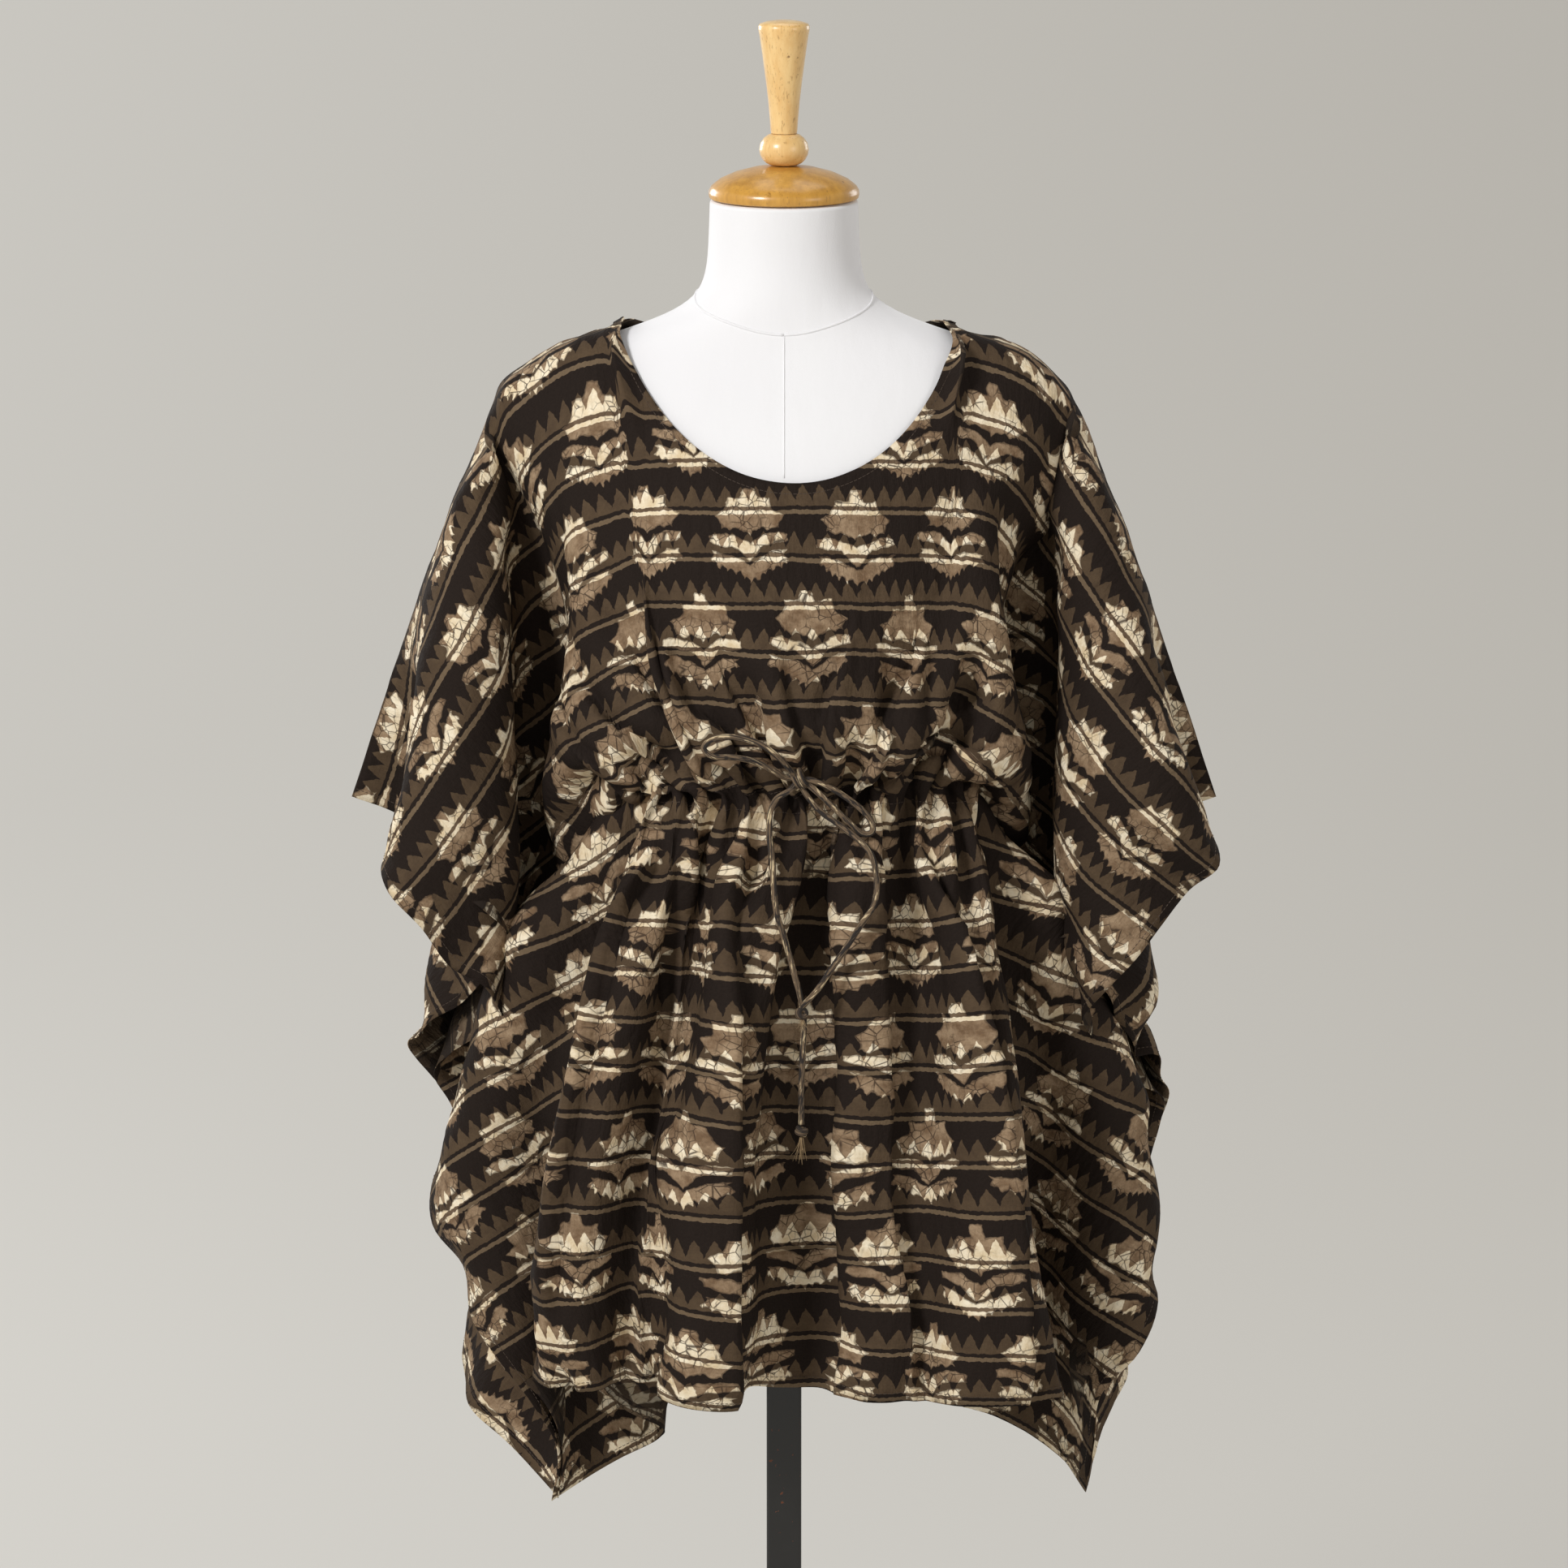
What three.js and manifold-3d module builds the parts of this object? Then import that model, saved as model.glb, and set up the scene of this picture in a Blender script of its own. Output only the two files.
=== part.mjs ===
// A short kaftan of block-printed cotton on a limbless dress form with a wooden neck cap.
// Millimetres, +Z up, floor at z = 0, the front faces -Y and the viewer's right is +X.
// The kaftan is cut flat, hung over the form and drawn in at the waist, so its folds come
// from its cut. s is the place across the flat cloth, from the centre line to the right, and
// t is the place down it, from the shoulder fold to the hem.
import * as THREE from "three";
import { mergeVertices } from "three/addons/utils/BufferGeometryUtils.js";
import Module from "manifold-3d";

const CUT = {
  halfWidth: 520,
  length: 770,
  neckHalf: 112,
  neckFront: 130,
  neckBack: 45,
  casing: 354,
  casingHalf: 240,
  mouth: 345,
  wall: 1,
  gap: 0.3,
};

// Columns of the cloth's net: narrow ones where it is gathered, wide ones on the wings.
const NET = {
  gatherColumns: 16,
  wingColumns: 9,
  neckColumns: 8,
  upperRows: 12,
  lowerRows: 12,
  crowd: 1.25,
};

const FORM = { sides: 28, power: 2.15, bottom: 800, neckTop: 1475 };

// The torso's cross-sections: height, half width, depth to the front and to the back, and
// how far the section's middle lies in y.
const TORSO = [
  { z: 800, half: 158, front: 100, back: 106, y: 0 },
  { z: 850, half: 164, front: 106, back: 114, y: 0 },
  { z: 905, half: 158, front: 103, back: 106, y: 0 },
  { z: 950, half: 138, front: 96, back: 90, y: 0 },
  { z: 990, half: 122, front: 90, back: 80, y: 0 },
  { z: 1030, half: 123, front: 93, back: 80, y: 0 },
  { z: 1080, half: 132, front: 103, back: 84, y: 0 },
  { z: 1130, half: 143, front: 116, back: 90, y: 0 },
  { z: 1185, half: 152, front: 123, back: 96, y: 0 },
  { z: 1235, half: 166, front: 113, back: 100, y: 0 },
  { z: 1286, half: 190, front: 97, back: 102, y: 0 },
  { z: 1318, half: 199, front: 84, back: 100, y: 0 },
  { z: 1346, half: 192, front: 73, back: 95, y: 0 },
  { z: 1362, half: 174, front: 66, back: 89, y: 0 },
  { z: 1374, half: 148, front: 62, back: 83, y: 0 },
  { z: 1385, half: 112, front: 59, back: 78, y: -1 },
  { z: 1396, half: 80, front: 57, back: 68, y: -3 },
  { z: 1408, half: 62, front: 55, back: 59, y: -5 },
  { z: 1426, half: 55, front: 53, back: 54, y: -7 },
  { z: 1450, half: 53, front: 52, back: 52, y: -11 },
  { z: 1475, half: 52, front: 52, back: 52, y: -15 },
];

// Where the cloth is held by hand when it is hung: the shoulder fold down to the sleeve tip.
const SHOULDER = [
  { s: 112, x: 111, z: 1389, hold: 1 },
  { s: 165, x: 160, z: 1375, hold: 1 },
  { s: 205, x: 197, z: 1349, hold: 1 },
  { s: 245, x: 215, z: 1315, hold: 0.5 },
  { s: 360, x: 255, z: 1208, hold: 0.1 },
  { s: 520, x: 309, z: 1053, hold: 1 },
];

// Where a hand has set the cloth: places on the side edges and the hem that the folds keep.
const SET = [
  { panel: 0, s: 520, t: 85, x: 240, y: -60, z: 1013 },
  { panel: 0, s: 520, t: 170, x: 300, y: -10, z: 985 },
  { panel: 0, s: 520, t: 310, x: 221, y: -60, z: 888 },
  { panel: 0, s: 520, t: 345, x: 203, y: -55, z: 874 },
  { panel: 0, s: 520, t: 560, x: 236, y: -10, z: 747 },
  { panel: 0, s: 520, t: 690, x: 212, y: -60, z: 665 },
  { panel: 0, s: 520, t: 770, x: 220, y: -40, z: 542 },
  { panel: 0, s: -520, t: 75, x: -247, y: -40, z: 1008 },
  { panel: 0, s: -520, t: 200, x: -240, y: -50, z: 896 },
  { panel: 0, s: -520, t: 265, x: -192, y: -60, z: 848 },
  { panel: 0, s: -520, t: 560, x: -215, y: 0, z: 726 },
  { panel: 0, s: -520, t: 650, x: -184, y: -60, z: 664 },
  { panel: 0, s: -520, t: 720, x: -165, y: -70, z: 622 },
  { panel: 0, s: -520, t: 770, x: -172, y: -60, z: 541 },
  { panel: 1, s: 390, t: 770, x: 263, y: 60, z: 590 },
  { panel: 1, s: -430, t: 770, x: -237, y: 0, z: 588 },
  { panel: 0, s: -225, t: 770, x: -128, y: -88, z: 640 },
  { panel: 0, s: -150, t: 770, x: -66, y: -96, z: 648 },
  { panel: 0, s: -105, t: 770, x: -94, y: -136, z: 654 },
  { panel: 0, s: -38, t: 770, x: -31, y: -142, z: 656 },
  { panel: 0, s: -8, t: 770, x: -22, y: -112, z: 657 },
  { panel: 0, s: 30, t: 770, x: 26, y: -110, z: 657 },
  { panel: 0, s: 60, t: 770, x: 37, y: -142, z: 656 },
  { panel: 0, s: 105, t: 770, x: 80, y: -128, z: 648 },
  { panel: 0, s: 210, t: 770, x: 171, y: -108, z: 604 },
  { panel: 0, s: 225, t: 560, x: 169, y: -118, z: null },
  { panel: 0, s: 225, t: 482, x: 150, y: -118, z: null },
  { panel: 0, s: 225, t: 420, x: 134, y: -112, z: null },
  { panel: 0, s: -225, t: 482, x: -140, y: -108, z: null },
  { panel: 0, s: -225, t: 558, x: -152, y: -110, z: null },
  { panel: 0, s: -225, t: 646, x: -158, y: -110, z: null },
  { panel: 0, s: -100, t: 600, x: -88, y: -138, z: null },
  { panel: 0, s: -38, t: 600, x: -31, y: -142, z: null },
  { panel: 0, s: -8, t: 600, x: -20, y: -113, z: null },
  { panel: 0, s: 30, t: 600, x: 24, y: -112, z: null },
  { panel: 0, s: 60, t: 600, x: 36, y: -142, z: null },
  { panel: 0, s: -38, t: 470, x: -31, y: -134, z: null },
  { panel: 0, s: 0, t: 470, x: 0, y: -110, z: null },
  { panel: 0, s: 60, t: 470, x: 36, y: -134, z: null },
  { panel: 1, s: 0, t: 770, x: 0, y: 128, z: null },
  { panel: 1, s: 200, t: 770, x: 150, y: 120, z: null },
  { panel: 1, s: -200, t: 770, x: -150, y: 116, z: null },
  { panel: 0, s: 330, t: 770, x: 172, y: 10, z: 600 },
  { panel: 0, s: -330, t: 770, x: -150, y: 0, z: 620 },
];

// The waist draw: the gathered row runs round the form between these places.
const WAIST = {
  z: 1068,
  frontLeft: -108,
  frontRight: 132,
  backHalf: 118,
  stand: 11,
  depth: 0.8,
  flattest: 2,
  samples: 900,
};

// The wooden head of the stand, turned on a lathe: radius and height above the neck's top.
const CAP = [
  { r: 0, z: 0.3 }, { r: 50.5, z: 0.3 }, { r: 52.3, z: 2 }, { r: 52.5, z: 5.5 },
  { r: 51, z: 8.5 }, { r: 45, z: 13.5 }, { r: 35, z: 18 }, { r: 22, z: 21.5 }, { r: 0, z: 23 },
];
const BALL = [
  { r: 0, z: 0 }, { r: 9.5, z: 0 }, { r: 14, z: 2.6 }, { r: 16.8, z: 7 }, { r: 17.2, z: 11 },
  { r: 16, z: 15.5 }, { r: 12.5, z: 19.5 }, { r: 8.8, z: 21.6 }, { r: 0, z: 21.6 },
];
const HANDLE = [
  { r: 0, z: 0 }, { r: 9, z: 0 }, { r: 9.4, z: 3 }, { r: 10.2, z: 12 }, { r: 12.6, z: 34 },
  { r: 15.4, z: 56 }, { r: 17.6, z: 70 }, { r: 17.8, z: 72.5 }, { r: 16.5, z: 74.4 },
  { r: 11, z: 76 }, { r: 0, z: 76.8 },
];
const HEAD = { y: -15, tilt: 0.155, leanFrom: 1435, sides: 24, ballUp: 23.3, handleUp: 45.2 };
// The drawstring: a rolled cloth tie. Its free parts leave the bow's knot and lie on the cloth.
const TIE = { across: 4.5, sides: 8, step: 11, knot: { x: 10, y: -127, z: 1082 },
  knotWide: 9.5, knotDeep: 6.5, knotHigh: 8, endKnot: 4.6 };
const LOOP_LEFT = [
  { x: 10, y: -127, z: 1082 }, { x: 3.5, y: -130, z: 1090 }, { x: -5, y: -135, z: 1100 },
  { x: -18, y: -134, z: 1109 }, { x: -34, y: -131, z: 1113 }, { x: -47, y: -132, z: 1112 },
  { x: -54, y: -133, z: 1106 }, { x: -48, y: -131, z: 1100 }, { x: -35, y: -130, z: 1099 },
  { x: -21, y: -130, z: 1096 }, { x: -8, y: -129, z: 1089 }, { x: 0, y: -127, z: 1083.5 },
  { x: 9, y: -127, z: 1082 },
];
const LOOP_RIGHT = [
  { x: 10, y: -127, z: 1082 }, { x: 20, y: -128, z: 1081 }, { x: 35, y: -127, z: 1074 },
  { x: 50, y: -124, z: 1063 }, { x: 59, y: -122, z: 1053 }, { x: 60, y: -122, z: 1045 },
  { x: 53, y: -122, z: 1044 }, { x: 43, y: -123, z: 1053 }, { x: 31, y: -126, z: 1065 },
  { x: 19, y: -127, z: 1076 }, { x: 11, y: -127, z: 1081.5 },
];
const TAIL_LEFT = [
  { x: 9.5, y: -127, z: 1081 }, { x: 4, y: -126, z: 1074 }, { x: -5, y: -124, z: 1068 },
  { x: -9.5, y: -127, z: 1058 }, { x: -10, y: -130, z: 1044 }, { x: -8, y: -135, z: 1029 },
  { x: -7, y: -141, z: 1012 }, { x: -5, y: -143, z: 993 }, { x: 0.5, y: -143, z: 974 },
  { x: 7, y: -143, z: 950 }, { x: 13, y: -142, z: 924 }, { x: 13, y: -141, z: 900 },
  { x: 12, y: -140, z: 872 }, { x: 12, y: -139, z: 845 },
];
const TAIL_RIGHT = [
  { x: 10.5, y: -127, z: 1081 }, { x: 14, y: -124, z: 1073 }, { x: 24, y: -119, z: 1060 },
  { x: 38, y: -118, z: 1050 }, { x: 51, y: -118, z: 1040 }, { x: 60, y: -119, z: 1029 },
  { x: 63, y: -124, z: 1012 }, { x: 61, y: -127, z: 997 }, { x: 53, y: -131, z: 985 },
  { x: 36, y: -140, z: 960 }, { x: 22, y: -148, z: 940 }, { x: 12, y: -151, z: 929 },
];
const POLE = { side: 25.4, corner: 2.5, foot: 6.3 };
const BASE = { radius: 210, thick: 6, edge: 1.5, sides: 48, collarSide: 46, collarHigh: 32 };

const HANG = {
  steps: 760,
  lower: 320,
  passes: 10,
  gravity: 1.2,
  damping: 0.97,
  fastest: 2.6,
  shear: 0.35,
  bend: 0.06,
  skirtBend: 0.14,
  layer: 4,
  reach: 12,
  skin: 2.4,
  tidyRounds: 12,
  set: 0.06,
  cell: 34,
};

// The flat cloth before it is let down: its height, how far its panels stand out from each
// other, and how the wings turn down from the shoulder's end.
const LIFTED = {
  z: 1400,
  swell: 128,
  swellDepth: 110,
  bulge: 0.35,
  shoulderEnd: 205,
  turn: 1.22,
};

// How far apart the front and the back of a wing hang: more row by row down the open edge,
// and more column by column in from the side seam.
const WING = { byRow: 1.2, byColumn: 4, widest: 14, inner: 3 };

const FRONT = 0;
const BACK = 1;
const columns = 2 * (NET.gatherColumns + NET.wingColumns) + 1;
const rows = NET.upperRows + NET.lowerRows + 1;
const panelPoints = columns * rows;
const pointOf = (panel, i, j) => panel * panelPoints + j * columns + i;

// A column's place on the hem: even in the gathers, and even and wider on the wings.
function hemPlace(i) {
  const k = i - NET.gatherColumns - NET.wingColumns;
  const side = Math.sign(k);
  const inner = Math.min(Math.abs(k), NET.gatherColumns) / NET.gatherColumns;
  const outer = Math.max(Math.abs(k) - NET.gatherColumns, 0) / NET.wingColumns;
  return side * (inner * CUT.casingHalf + outer * (CUT.halfWidth - CUT.casingHalf));
}

// A column's place on the top edge: round the neck hole, then along the shoulder fold.
function topPlace(i, neckDepth) {
  const hem = hemPlace(i);
  const neckEnd = (NET.neckColumns / NET.gatherColumns) * CUT.casingHalf;
  if (Math.abs(hem) < neckEnd) {
    const turn = (hem / neckEnd) * (Math.PI / 2);
    return { s: CUT.neckHalf * Math.sin(turn), t: neckDepth * Math.cos(turn) };
  }
  const share = Math.min((Math.abs(hem) - neckEnd) / (CUT.casingHalf - neckEnd), 1);
  const shift = (CUT.neckHalf - neckEnd) * (1 - share);
  return { s: hem + Math.sign(hem) * shift, t: 0 };
}

// A net point's place on the flat cloth.
function flatPlace(panel, i, j) {
  const top = topPlace(i, panel === FRONT ? CUT.neckFront : CUT.neckBack);
  const hem = hemPlace(i);
  if (j <= NET.upperRows) {
    const w = 1 - (1 - j / NET.upperRows) ** NET.crowd;
    return { s: top.s + (hem - top.s) * w, t: top.t + (CUT.casing - top.t) * w };
  }
  const w = ((j - NET.upperRows) / NET.lowerRows) ** NET.crowd;
  return { s: hem, t: CUT.casing + (CUT.length - CUT.casing) * w };
}

// Reads a table between its rows, along straight lines.
function along(table, key, at, column) {
  let k = 1;
  while (k < table.length - 1 && at > table[k][key]) k += 1;
  const [a, b] = [table[k - 1], table[k]];
  const share = (at - a[key]) / (b[key] - a[key]);
  return a[column] + (b[column] - a[column]) * share;
}

// Reads the torso's table between its rows, along a smooth curve through them.
function torsoCurve(column) {
  const list = [];
  for (let z = FORM.bottom; z <= FORM.neckTop; z += 1) {
    let k = 1;
    while (k < TORSO.length - 1 && z > TORSO[k].z) k += 1;
    const slope = (n) => {
      const [a, b] = [TORSO[Math.max(n - 1, 0)], TORSO[Math.min(n + 1, TORSO.length - 1)]];
      return (b[column] - a[column]) / (b.z - a.z);
    };
    const [a, b] = [TORSO[k - 1], TORSO[k]];
    const span = b.z - a.z;
    const u = (z - a.z) / span;
    const ease = u * u * (3 - 2 * u);
    list.push(
      a[column] * (1 - ease) + b[column] * ease
        + span * slope(k - 1) * u * (1 - u) ** 2 - span * slope(k) * u * u * (1 - u),
    );
  }
  return list;
}
const torso = {
  half: torsoCurve("half"),
  front: torsoCurve("front"),
  back: torsoCurve("back"),
  y: torsoCurve("y"),
};

// How far a point lies outside the form, and the direction straight out from it.
function outOfForm(x, y, z, out) {
  const at = Math.max(0, Math.min(torso.half.length - 2, Math.floor(z - FORM.bottom)));
  const share = Math.max(0, Math.min(1, z - FORM.bottom - at));
  const value = (list) => list[at] + (list[at + 1] - list[at]) * share;
  const rise = (list) => list[at + 1] - list[at];
  const half = value(torso.half);
  const middle = value(torso.y);
  const depths = y < middle ? torso.front : torso.back;
  const depth = value(depths);
  const across = Math.abs(x) / half;
  const through = Math.abs(y - middle) / depth;
  const n = FORM.power;
  const size = (across ** n + through ** n) ** (1 / n);
  if (size < 1e-6) return 1e6;
  const pull = size ** (1 - n);
  const gx = (Math.sign(x) * across ** (n - 1) * pull) / half;
  const gy = (Math.sign(y - middle) * through ** (n - 1) * pull) / depth;
  const gz = -pull * (across ** n * (rise(torso.half) / half)
    + through ** n * (rise(depths) / depth)) - gy * rise(torso.y);
  const steep = Math.hypot(gx, gy, gz);
  out[0] = gx / steep;
  out[1] = gy / steep;
  out[2] = gz / steep;
  return (size - 1) / steep;
}

// The gathered row: pleats of uneven width round the waist, in and out by what each takes up.
function waistPlaces(panel) {
  const section = (turn, stand) => {
    const out = panel === FRONT ? torso.front : torso.back;
    const at = WAIST.z - FORM.bottom;
    const n = 2 / FORM.power;
    const bend = (v) => Math.sign(v) * Math.abs(v) ** n;
    return {
      x: (torso.half[at] + stand) * bend(Math.sin(turn)),
      y: (panel === FRONT ? -1 : 1) * (out[at] + stand) * bend(Math.cos(turn)),
    };
  };
  const fine = [];
  for (let k = -WAIST.samples; k <= WAIST.samples; k += 1) {
    fine.push(section((k / WAIST.samples) * (Math.PI / 2), WAIST.stand));
  }
  const left = panel === FRONT ? WAIST.frontLeft : -WAIST.backHalf;
  const right = panel === FRONT ? WAIST.frontRight : WAIST.backHalf;
  const kept = fine.filter((p) => p.x >= left && p.x <= right);
  const reach = [0];
  for (let k = 1; k < kept.length; k += 1) {
    reach.push(reach[k - 1] + Math.hypot(kept[k].x - kept[k - 1].x, kept[k].y - kept[k - 1].y));
  }
  const count = 2 * NET.gatherColumns;
  const flatStep = (2 * CUT.casingHalf) / count;
  const share = [0];
  for (let k = 1; k <= count; k += 1) {
    share.push(share[k - 1] + 1 + 0.16 * Math.sin(1.9 * k + panel) + 0.1 * Math.sin(4.3 * k));
  }
  const places = [];
  for (let k = 0; k <= count; k += 1) {
    const want = (share[k] / share[count]) * reach[reach.length - 1];
    let m = 1;
    while (m < reach.length - 1 && reach[m] < want) m += 1;
    const step = k < count ? (share[k + 1] - share[k]) : share[k] - share[k - 1];
    const arc = (step / share[count]) * reach[reach.length - 1];
    const rise = Math.sqrt(Math.max(flatStep ** 2 - arc ** 2, WAIST.flattest ** 2));
    const deep = 0.5 * WAIST.depth * rise * (k % 2 ? 1 : -1);
    const [p, q] = [kept[m - 1], kept[m]];
    const long = Math.hypot(q.x - p.x, q.y - p.y);
    const [nx, ny] = [(q.y - p.y) / long, -(q.x - p.x) / long];
    const outward = Math.sign(nx * p.x + ny * p.y);
    places.push({
      x: p.x + nx * outward * deep,
      y: p.y + ny * outward * deep,
      z: WAIST.z + 3 * Math.sin(0.35 * k),
    });
  }
  return places;
}

// Hangs the cut cloth over the form and lets it settle. Returns every point's place.
function hangCloth() {
  const count = 2 * panelPoints;
  const flat = [];
  const p = new Float64Array(3 * count);
  for (const panel of [FRONT, BACK]) {
    for (let j = 0; j < rows; j += 1) {
      for (let i = 0; i < columns; i += 1) {
        const place = flatPlace(panel, i, j);
        flat.push(place);
        const k = 3 * pointOf(panel, i, j);
        const swell = LIFTED.swell * (1 - (place.s / (CUT.halfWidth + 1)) ** 2) + 1.5;
        const fall = Math.min(1, (place.t + 1) / LIFTED.swellDepth) ** 0.8;
        p[k] = place.s;
        p[k + 1] = (panel === FRONT ? -1 : 1) * (swell * fall + 0.8);
        p[k + 2] = LIFTED.z - place.t + LIFTED.bulge * swell * fall;
      }
    }
  }
  const links = [];
  const link = (a, b, pull, push) => {
    const rest = Math.hypot(flat[a].s - flat[b].s, flat[a].t - flat[b].t);
    links.push({ a: 3 * a, b: 3 * b, rest, pull, push });
  };
  for (const panel of [FRONT, BACK]) {
    for (let j = 0; j < rows; j += 1) {
      for (let i = 0; i < columns; i += 1) {
        const at = pointOf(panel, i, j);
        if (i + 1 < columns) link(at, pointOf(panel, i + 1, j), 1, 1);
        if (j + 1 < rows) link(at, pointOf(panel, i, j + 1), 1, 1);
        if (i + 1 < columns && j + 1 < rows) {
          link(at, pointOf(panel, i + 1, j + 1), HANG.shear, HANG.shear);
          link(pointOf(panel, i + 1, j), pointOf(panel, i, j + 1), HANG.shear, HANG.shear);
        }
        const below = (j - NET.upperRows) / NET.lowerRows;
        const bend = HANG.bend + (HANG.skirtBend - HANG.bend) * Math.max(0, below) ** 0.5;
        if (i + 2 < columns) link(at, pointOf(panel, i + 2, j), 0, bend);
        if (below > 0.25 && i + 4 < columns) link(at, pointOf(panel, i + 4, j), 0, bend * 0.25);
        if (j + 2 < rows) link(at, pointOf(panel, i, j + 2), 0, HANG.bend);
      }
    }
  }
  const old = p.slice();
  const middle = (columns - 1) / 2;
  const neckEnd = NET.neckColumns;
  const out = [0, 0, 0];
  const waist = [waistPlaces(FRONT), waistPlaces(BACK)];
  const start = p.slice();
  const set = SET.map((row) => {
    let near = { far: Infinity };
    for (let k = 0; k < panelPoints; k += 1) {
      const at = row.panel * panelPoints + k;
      const far = Math.hypot(flat[at].s - row.s, flat[at].t - row.t);
      if (far < near.far) near = { far, at };
    }
    return { at: near.at, x: row.x, y: row.y, z: row.z };
  });

  const pin = (at, x, y, z, weight) => {
    const k = 3 * at;
    p[k] += (x - p[k]) * weight;
    p[k + 1] += (y - p[k + 1]) * weight;
    if (z !== null) p[k + 2] += (z - p[k + 2]) * weight;
  };
  // The fold and the seams: the two panels' edges stay side by side, a wall and a gap apart.
  const apart = (CUT.wall + CUT.gap) / 2;
  const joinEdges = () => {
    for (let i = 0; i < columns; i += 1) {
      if (Math.abs(i - middle) < neckEnd) continue;
      const [a, b] = [3 * pointOf(FRONT, i, 0), 3 * pointOf(BACK, i, 0)];
      for (let c = 0; c < 3; c += 1) {
        const mid = (p[a + c] + p[b + c]) / 2;
        p[a + c] = mid - (c === 1 ? apart : 0);
        p[b + c] = mid + (c === 1 ? apart : 0);
      }
    }
    for (let j = 0; j < rows; j += 1) {
      for (const i of [0, columns - 1]) {
        if (flat[pointOf(FRONT, i, j)].t < CUT.mouth) continue;
        const [a, b] = [3 * pointOf(FRONT, i, j), 3 * pointOf(BACK, i, j)];
        const step = i === 0 ? 3 : -3;
        const d = [0, 1, 2].map((c) => p[a + step + c] - p[b + step + c]);
        const long = Math.hypot(...d) || 1;
        for (let c = 0; c < 3; c += 1) {
          const mid = (p[a + c] + p[b + c]) / 2;
          p[a + c] = mid + (d[c] / long) * apart;
          p[b + c] = mid - (d[c] / long) * apart;
        }
      }
    }
  };
  const hold = (lowered) => {
    for (const panel of [FRONT, BACK]) {
      const y = (panel === FRONT ? -1 : 1) * apart;
      for (let i = 0; i < columns; i += 1) {
        if (Math.abs(i - middle) < neckEnd) continue;
        const side = Math.sign(i - middle);
        const s = Math.abs(flat[pointOf(panel, i, 0)].s);
        const reach = Math.max(s - LIFTED.shoulderEnd, 0);
        const placeAt = (turn) => ({
          x: s - reach + reach * Math.cos(turn),
          z: LIFTED.z - reach * Math.sin(turn),
        });
        const [now, end] = [placeAt(lowered * LIFTED.turn), placeAt(LIFTED.turn)];
        const x = now.x + (along(SHOULDER, "s", s, "x") - end.x) * lowered;
        const z = now.z + (along(SHOULDER, "s", s, "z") - end.z) * lowered;
        pin(pointOf(panel, i, 0), side * x, y, z, along(SHOULDER, "s", s, "hold"));
      }
      for (let i = 0; i < columns; i += 1) {
        const k = i - middle;
        if (Math.abs(k) > NET.gatherColumns) continue;
        const at = pointOf(panel, i, NET.upperRows);
        const place = waist[panel][k + NET.gatherColumns];
        const from = 3 * at;
        pin(at,
          start[from] + (place.x - start[from]) * lowered,
          start[from + 1] + (place.y - start[from + 1]) * lowered,
          start[from + 2] + (place.z - start[from + 2]) * lowered, 1);
      }
    }
    if (lowered < 1) return;
    for (const { at, x, y, z } of set) pin(at, x, y, z, HANG.set);
  };
  const meets = [];
  for (const panel of [FRONT, BACK]) {
    for (let j = 0; j < rows; j += 1) {
      for (let i = 0; i < columns; i += 1) {
        const [right, low] = [i + 1 < columns, j + 1 < rows];
        meets.push([pointOf(panel, i, j)]);
        if (right) meets.push([pointOf(panel, i, j), pointOf(panel, i + 1, j)]);
        if (low) meets.push([pointOf(panel, i, j), pointOf(panel, i, j + 1)]);
        if (right && low) {
          meets.push([pointOf(panel, i, j), pointOf(panel, i + 1, j + 1)]);
          meets.push([pointOf(panel, i + 1, j), pointOf(panel, i, j + 1)]);
        }
      }
    }
  }
  const offForm = () => {
    for (const group of meets) {
      const [a, b] = [3 * group[0], 3 * group[group.length - 1]];
      const z = (p[a + 2] + p[b + 2]) / 2;
      const x = (p[a] + p[b]) / 2;
      if (z < FORM.bottom || z > FORM.neckTop || Math.abs(x) > 215) continue;
      const far = outOfForm(x, (p[a + 1] + p[b + 1]) / 2, z, out);
      if (far >= HANG.skin) continue;
      for (const at of group) {
        for (let c = 0; c < 3; c += 1) {
          p[3 * at + c] += out[c] * (HANG.skin - far);
          old[3 * at + c] += out[c] * (HANG.skin - far) * 0.35;
        }
      }
    }
  };
  // On the wings the front hangs before the back, closing up towards the side seams.
  const wingOrder = () => {
    for (let j = 1; j < rows; j += 1) {
      for (let i = 0; i < columns; i += 1) {
        if (Math.abs(i - middle) < NET.gatherColumns - WING.inner) continue;
        const edge = Math.min(i, columns - 1 - i);
        const sewn = flat[pointOf(FRONT, i, j)].t >= CUT.mouth;
        const want = sewn
          ? Math.min((edge - 1) * WING.byColumn, WING.widest)
          : WING.byColumn + WING.byRow * j;
        const [a, b] = [3 * pointOf(FRONT, i, j) + 1, 3 * pointOf(BACK, i, j) + 1];
        const near = p[b] - p[a];
        if (near >= want) continue;
        p[a] -= (want - near) / 2;
        p[b] += (want - near) / 2;
      }
    }
  };
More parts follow.
